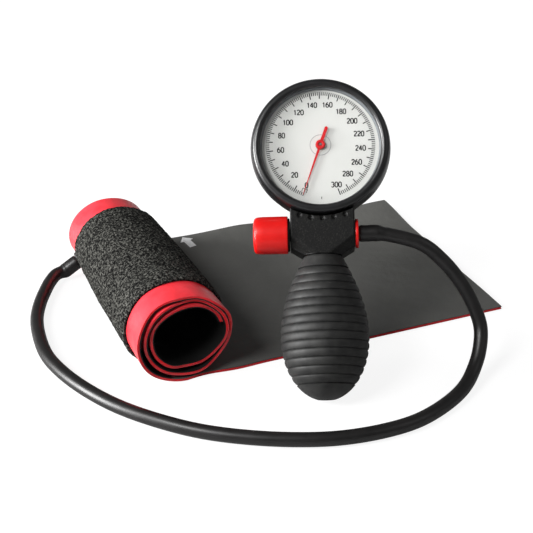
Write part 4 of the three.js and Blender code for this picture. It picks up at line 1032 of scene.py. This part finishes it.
def spoke(angle, low, high, width):
    """A stroke outwards between two radii about the pointer's axis."""
    out = outwards(angle)
    return stroke(np.array([out * low, out * high]) + [0, AXIS_RISE], width)


def printed(name, strokes, ink):
    """One piece of many strokes."""
    points, faces = stacked(*strokes)
    new_piece(name, on_handset(points), faces, ink)


printed("dial_ticks", [spoke(scale_angle(value), *(SHORT_TICK if value % 10 else LONG_TICK))
                       for value in range(0, SCALE_TOP + 1, 2)], dial_ink)

# %% [markdown]
# The numbers are drawn with a pen of one width. Each digit is a few strokes in a box one unit high.

# %% Numbers
def arc(x, z, wide, high, start, end, count=14):
    """Points on an ellipse from one angle to another, in degrees."""
    turn = np.radians(np.linspace(start, end, count))
    return joined(x + wide * np.cos(turn), z + high * np.sin(turn))


def line(*corners):
    return np.array(corners, float)


DIGITS = {
    "0": [np.vstack([arc(0, 0.2, 0.25, 0.3, 0, 180), arc(0, -0.2, 0.25, 0.3, 180, 360)]),
          line((0.25, -0.22), (0.25, 0.22))],
    "1": [line((-0.16, 0.3), (-0.02, 0.36), (0.06, 0.5)), line((0.06, 0.5), (0.06, -0.5))],
    "2": [np.vstack([arc(0, 0.24, 0.25, 0.26, 165, -25), line((-0.1, -0.22), (-0.24, -0.46))]),
          line((-0.27, -0.46), (0.27, -0.46))],
    "3": [arc(-0.02, 0.25, 0.24, 0.25, 150, -85), arc(-0.02, -0.23, 0.26, 0.27, 85, -150)],
    "4": [line((0.12, 0.5), (-0.27, -0.16)), line((-0.28, -0.2), (0.28, -0.2)),
          line((0.12, 0.5), (0.12, -0.5))],
    "6": [arc(0, -0.2, 0.25, 0.3, 0, 360, 24),
          np.vstack([line((0.14, 0.5)), arc(0.02, -0.1, 0.27, 0.48, 105, 185)])],
    "8": [arc(0, 0.26, 0.21, 0.24, 0, 360, 20), arc(0, -0.23, 0.25, 0.27, 0, 360, 22)],
}


DIGIT_HEIGHT, DIGIT_PITCH, PEN = 3.05, 1.8, 0.52
NUMBER_CIRCLE, OTHER_CIRCLES = 20.0, {0: 21.7, 140: 20.9, 160: 20.9, SCALE_TOP: 21.7}
BRACKET, BRACKET_HALF, BRACKET_PEN = (23.6, 25.4), 0.05, 0.28
FOOT_MARK, FOOT_PEN = (-27.6, -26.4), 0.3
HUB_RING, HUB_PEN = 5.2, 0.22


def number_strokes(value, radius):
    """A number's digits side by side, upright, with the middle of the word on the circle."""
    middle = radius * outwards(scale_angle(value)) + [0, AXIS_RISE]
    text = str(value)
    for place, digit in enumerate(text):
        shift = np.array([(place - (len(text) - 1) / 2) * DIGIT_PITCH, 0])
        for points in DIGITS[digit]:
            yield stroke(points * (DIGIT_HEIGHT - PEN) + shift + middle, PEN)


def dial_print():
    """The strokes of all numbers, of the bracket round the zero and of the mark at the bottom."""
    for value in range(0, SCALE_TOP + 1, 20):
        yield from number_strokes(value, OTHER_CIRCLES.get(value, NUMBER_CIRCLE))
    turns = scale_angle(0) - BRACKET_HALF, scale_angle(0) + BRACKET_HALF
    for turn in turns:
        yield spoke(turn, *BRACKET, BRACKET_PEN)
    yield stroke(arc(0, AXIS_RISE, BRACKET[0], BRACKET[0], *np.degrees(turns)), BRACKET_PEN)
    yield stroke(line(*[(0, AXIS_RISE + place) for place in FOOT_MARK]), FOOT_PEN)


printed("dial_numbers", dial_print(), dial_ink)
printed("hub_ring", [stroke(arc(0, AXIS_RISE, HUB_RING, HUB_RING, 0, 360, 64), HUB_PEN)], grey_ink)

# %% Pointer
POINTER_DEPTH, POINTER_HALF_THICK = 2.95, 0.22
TAIL_ROUND, TAIL_MIDDLE = 0.825, -8.875


def pointer_needle():
    """Half widths along the pointer, from the round tail to the hairline tip, as a flat bar."""
    along_it = np.concatenate([np.linspace(-9.7, -8.9, 9), np.linspace(-8.5, 26.9, 40)])
    back = (TAIL_MIDDLE - np.minimum(along_it, TAIL_MIDDLE)) / TAIL_ROUND
    tail = TAIL_ROUND * np.sqrt(np.clip(1 - back**2, 0, 1))
    taper = np.interp(along_it, [-8.8, -2.0, 2.0, 26.9], [0.78, 0.84, 0.62, 0.08])
    half = np.maximum(np.where(along_it < TAIL_MIDDLE, tail, taper), 0.02)
    sides = np.array([(-1, -1), (-1, 1), (1, 1), (1, -1)])
    out = outwards(scale_angle(0))
    across = half[:, None] * sides[:, 0]
    x = along_it[:, None] * out[0] - across * out[1]
    z = along_it[:, None] * out[1] + across * out[0] + AXIS_RISE
    y = POINTER_DEPTH + POINTER_HALF_THICK * sides[:, 1]
    return joined(x, y, z), bar_faces(len(along_it))


needle_points, needle_faces = pointer_needle()
new_piece("pointer_needle", on_handset(needle_points), needle_faces, pointer_paint,
          body="pointer_body")
turned("pointer_hub", softened([(0.9, 2.3), (2.4, 2.3), (2.4, 3.5), (0.9, 3.5)], 0.35), "pointer",
       pointer_paint, "pointer", body="pointer_body")

# %% [markdown]
# ## The hidden works
# The movement, the capsule and the valves stay as their CAD solids, and only need real metal.

# %% Metals and small rubber
brass = spotted("brass", "brass", (176, 142, 74), (196, 162, 92), 3, Metallic=1.0)
brass.feed(Roughness=0.28 + 0.14 * brass.noise(0.8, 2.0, stretch=(1, 6, 1)))
steel = spotted("steel", "steel", (150, 152, 155), (172, 174, 177), 3, Metallic=1.0)
steel.feed(Roughness=0.24 + 0.14 * steel.noise(0.8, 2.0, stretch=(1, 6, 1)))
silicone = coated("silicone", "silicone", (200, 192, 180), (210, 203, 192), 2, 0.5, 0.1, 1,
                  Subsurface_Weight=0.1)

by_slot = {finish.slot: finish for finish in (
    brass, steel, silicone, laminate, lining, fleece, hooks, bag_rubber, soft_rubber, neck_plastic,
    red_plastic, bezel_paint, clear_glass, dial_paint, pointer_paint)}
for subpart in frame["record"]["subparts"]:
    for place in frame["nodes"][subpart["node"]].material_slots:
        place.material = by_slot[subpart["material_slot"]].material

both_boxes = {"cad": cad_box, "visual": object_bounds()}
{name: [[float(v) for v in corner] for corner in box] for name, box in both_boxes.items()}
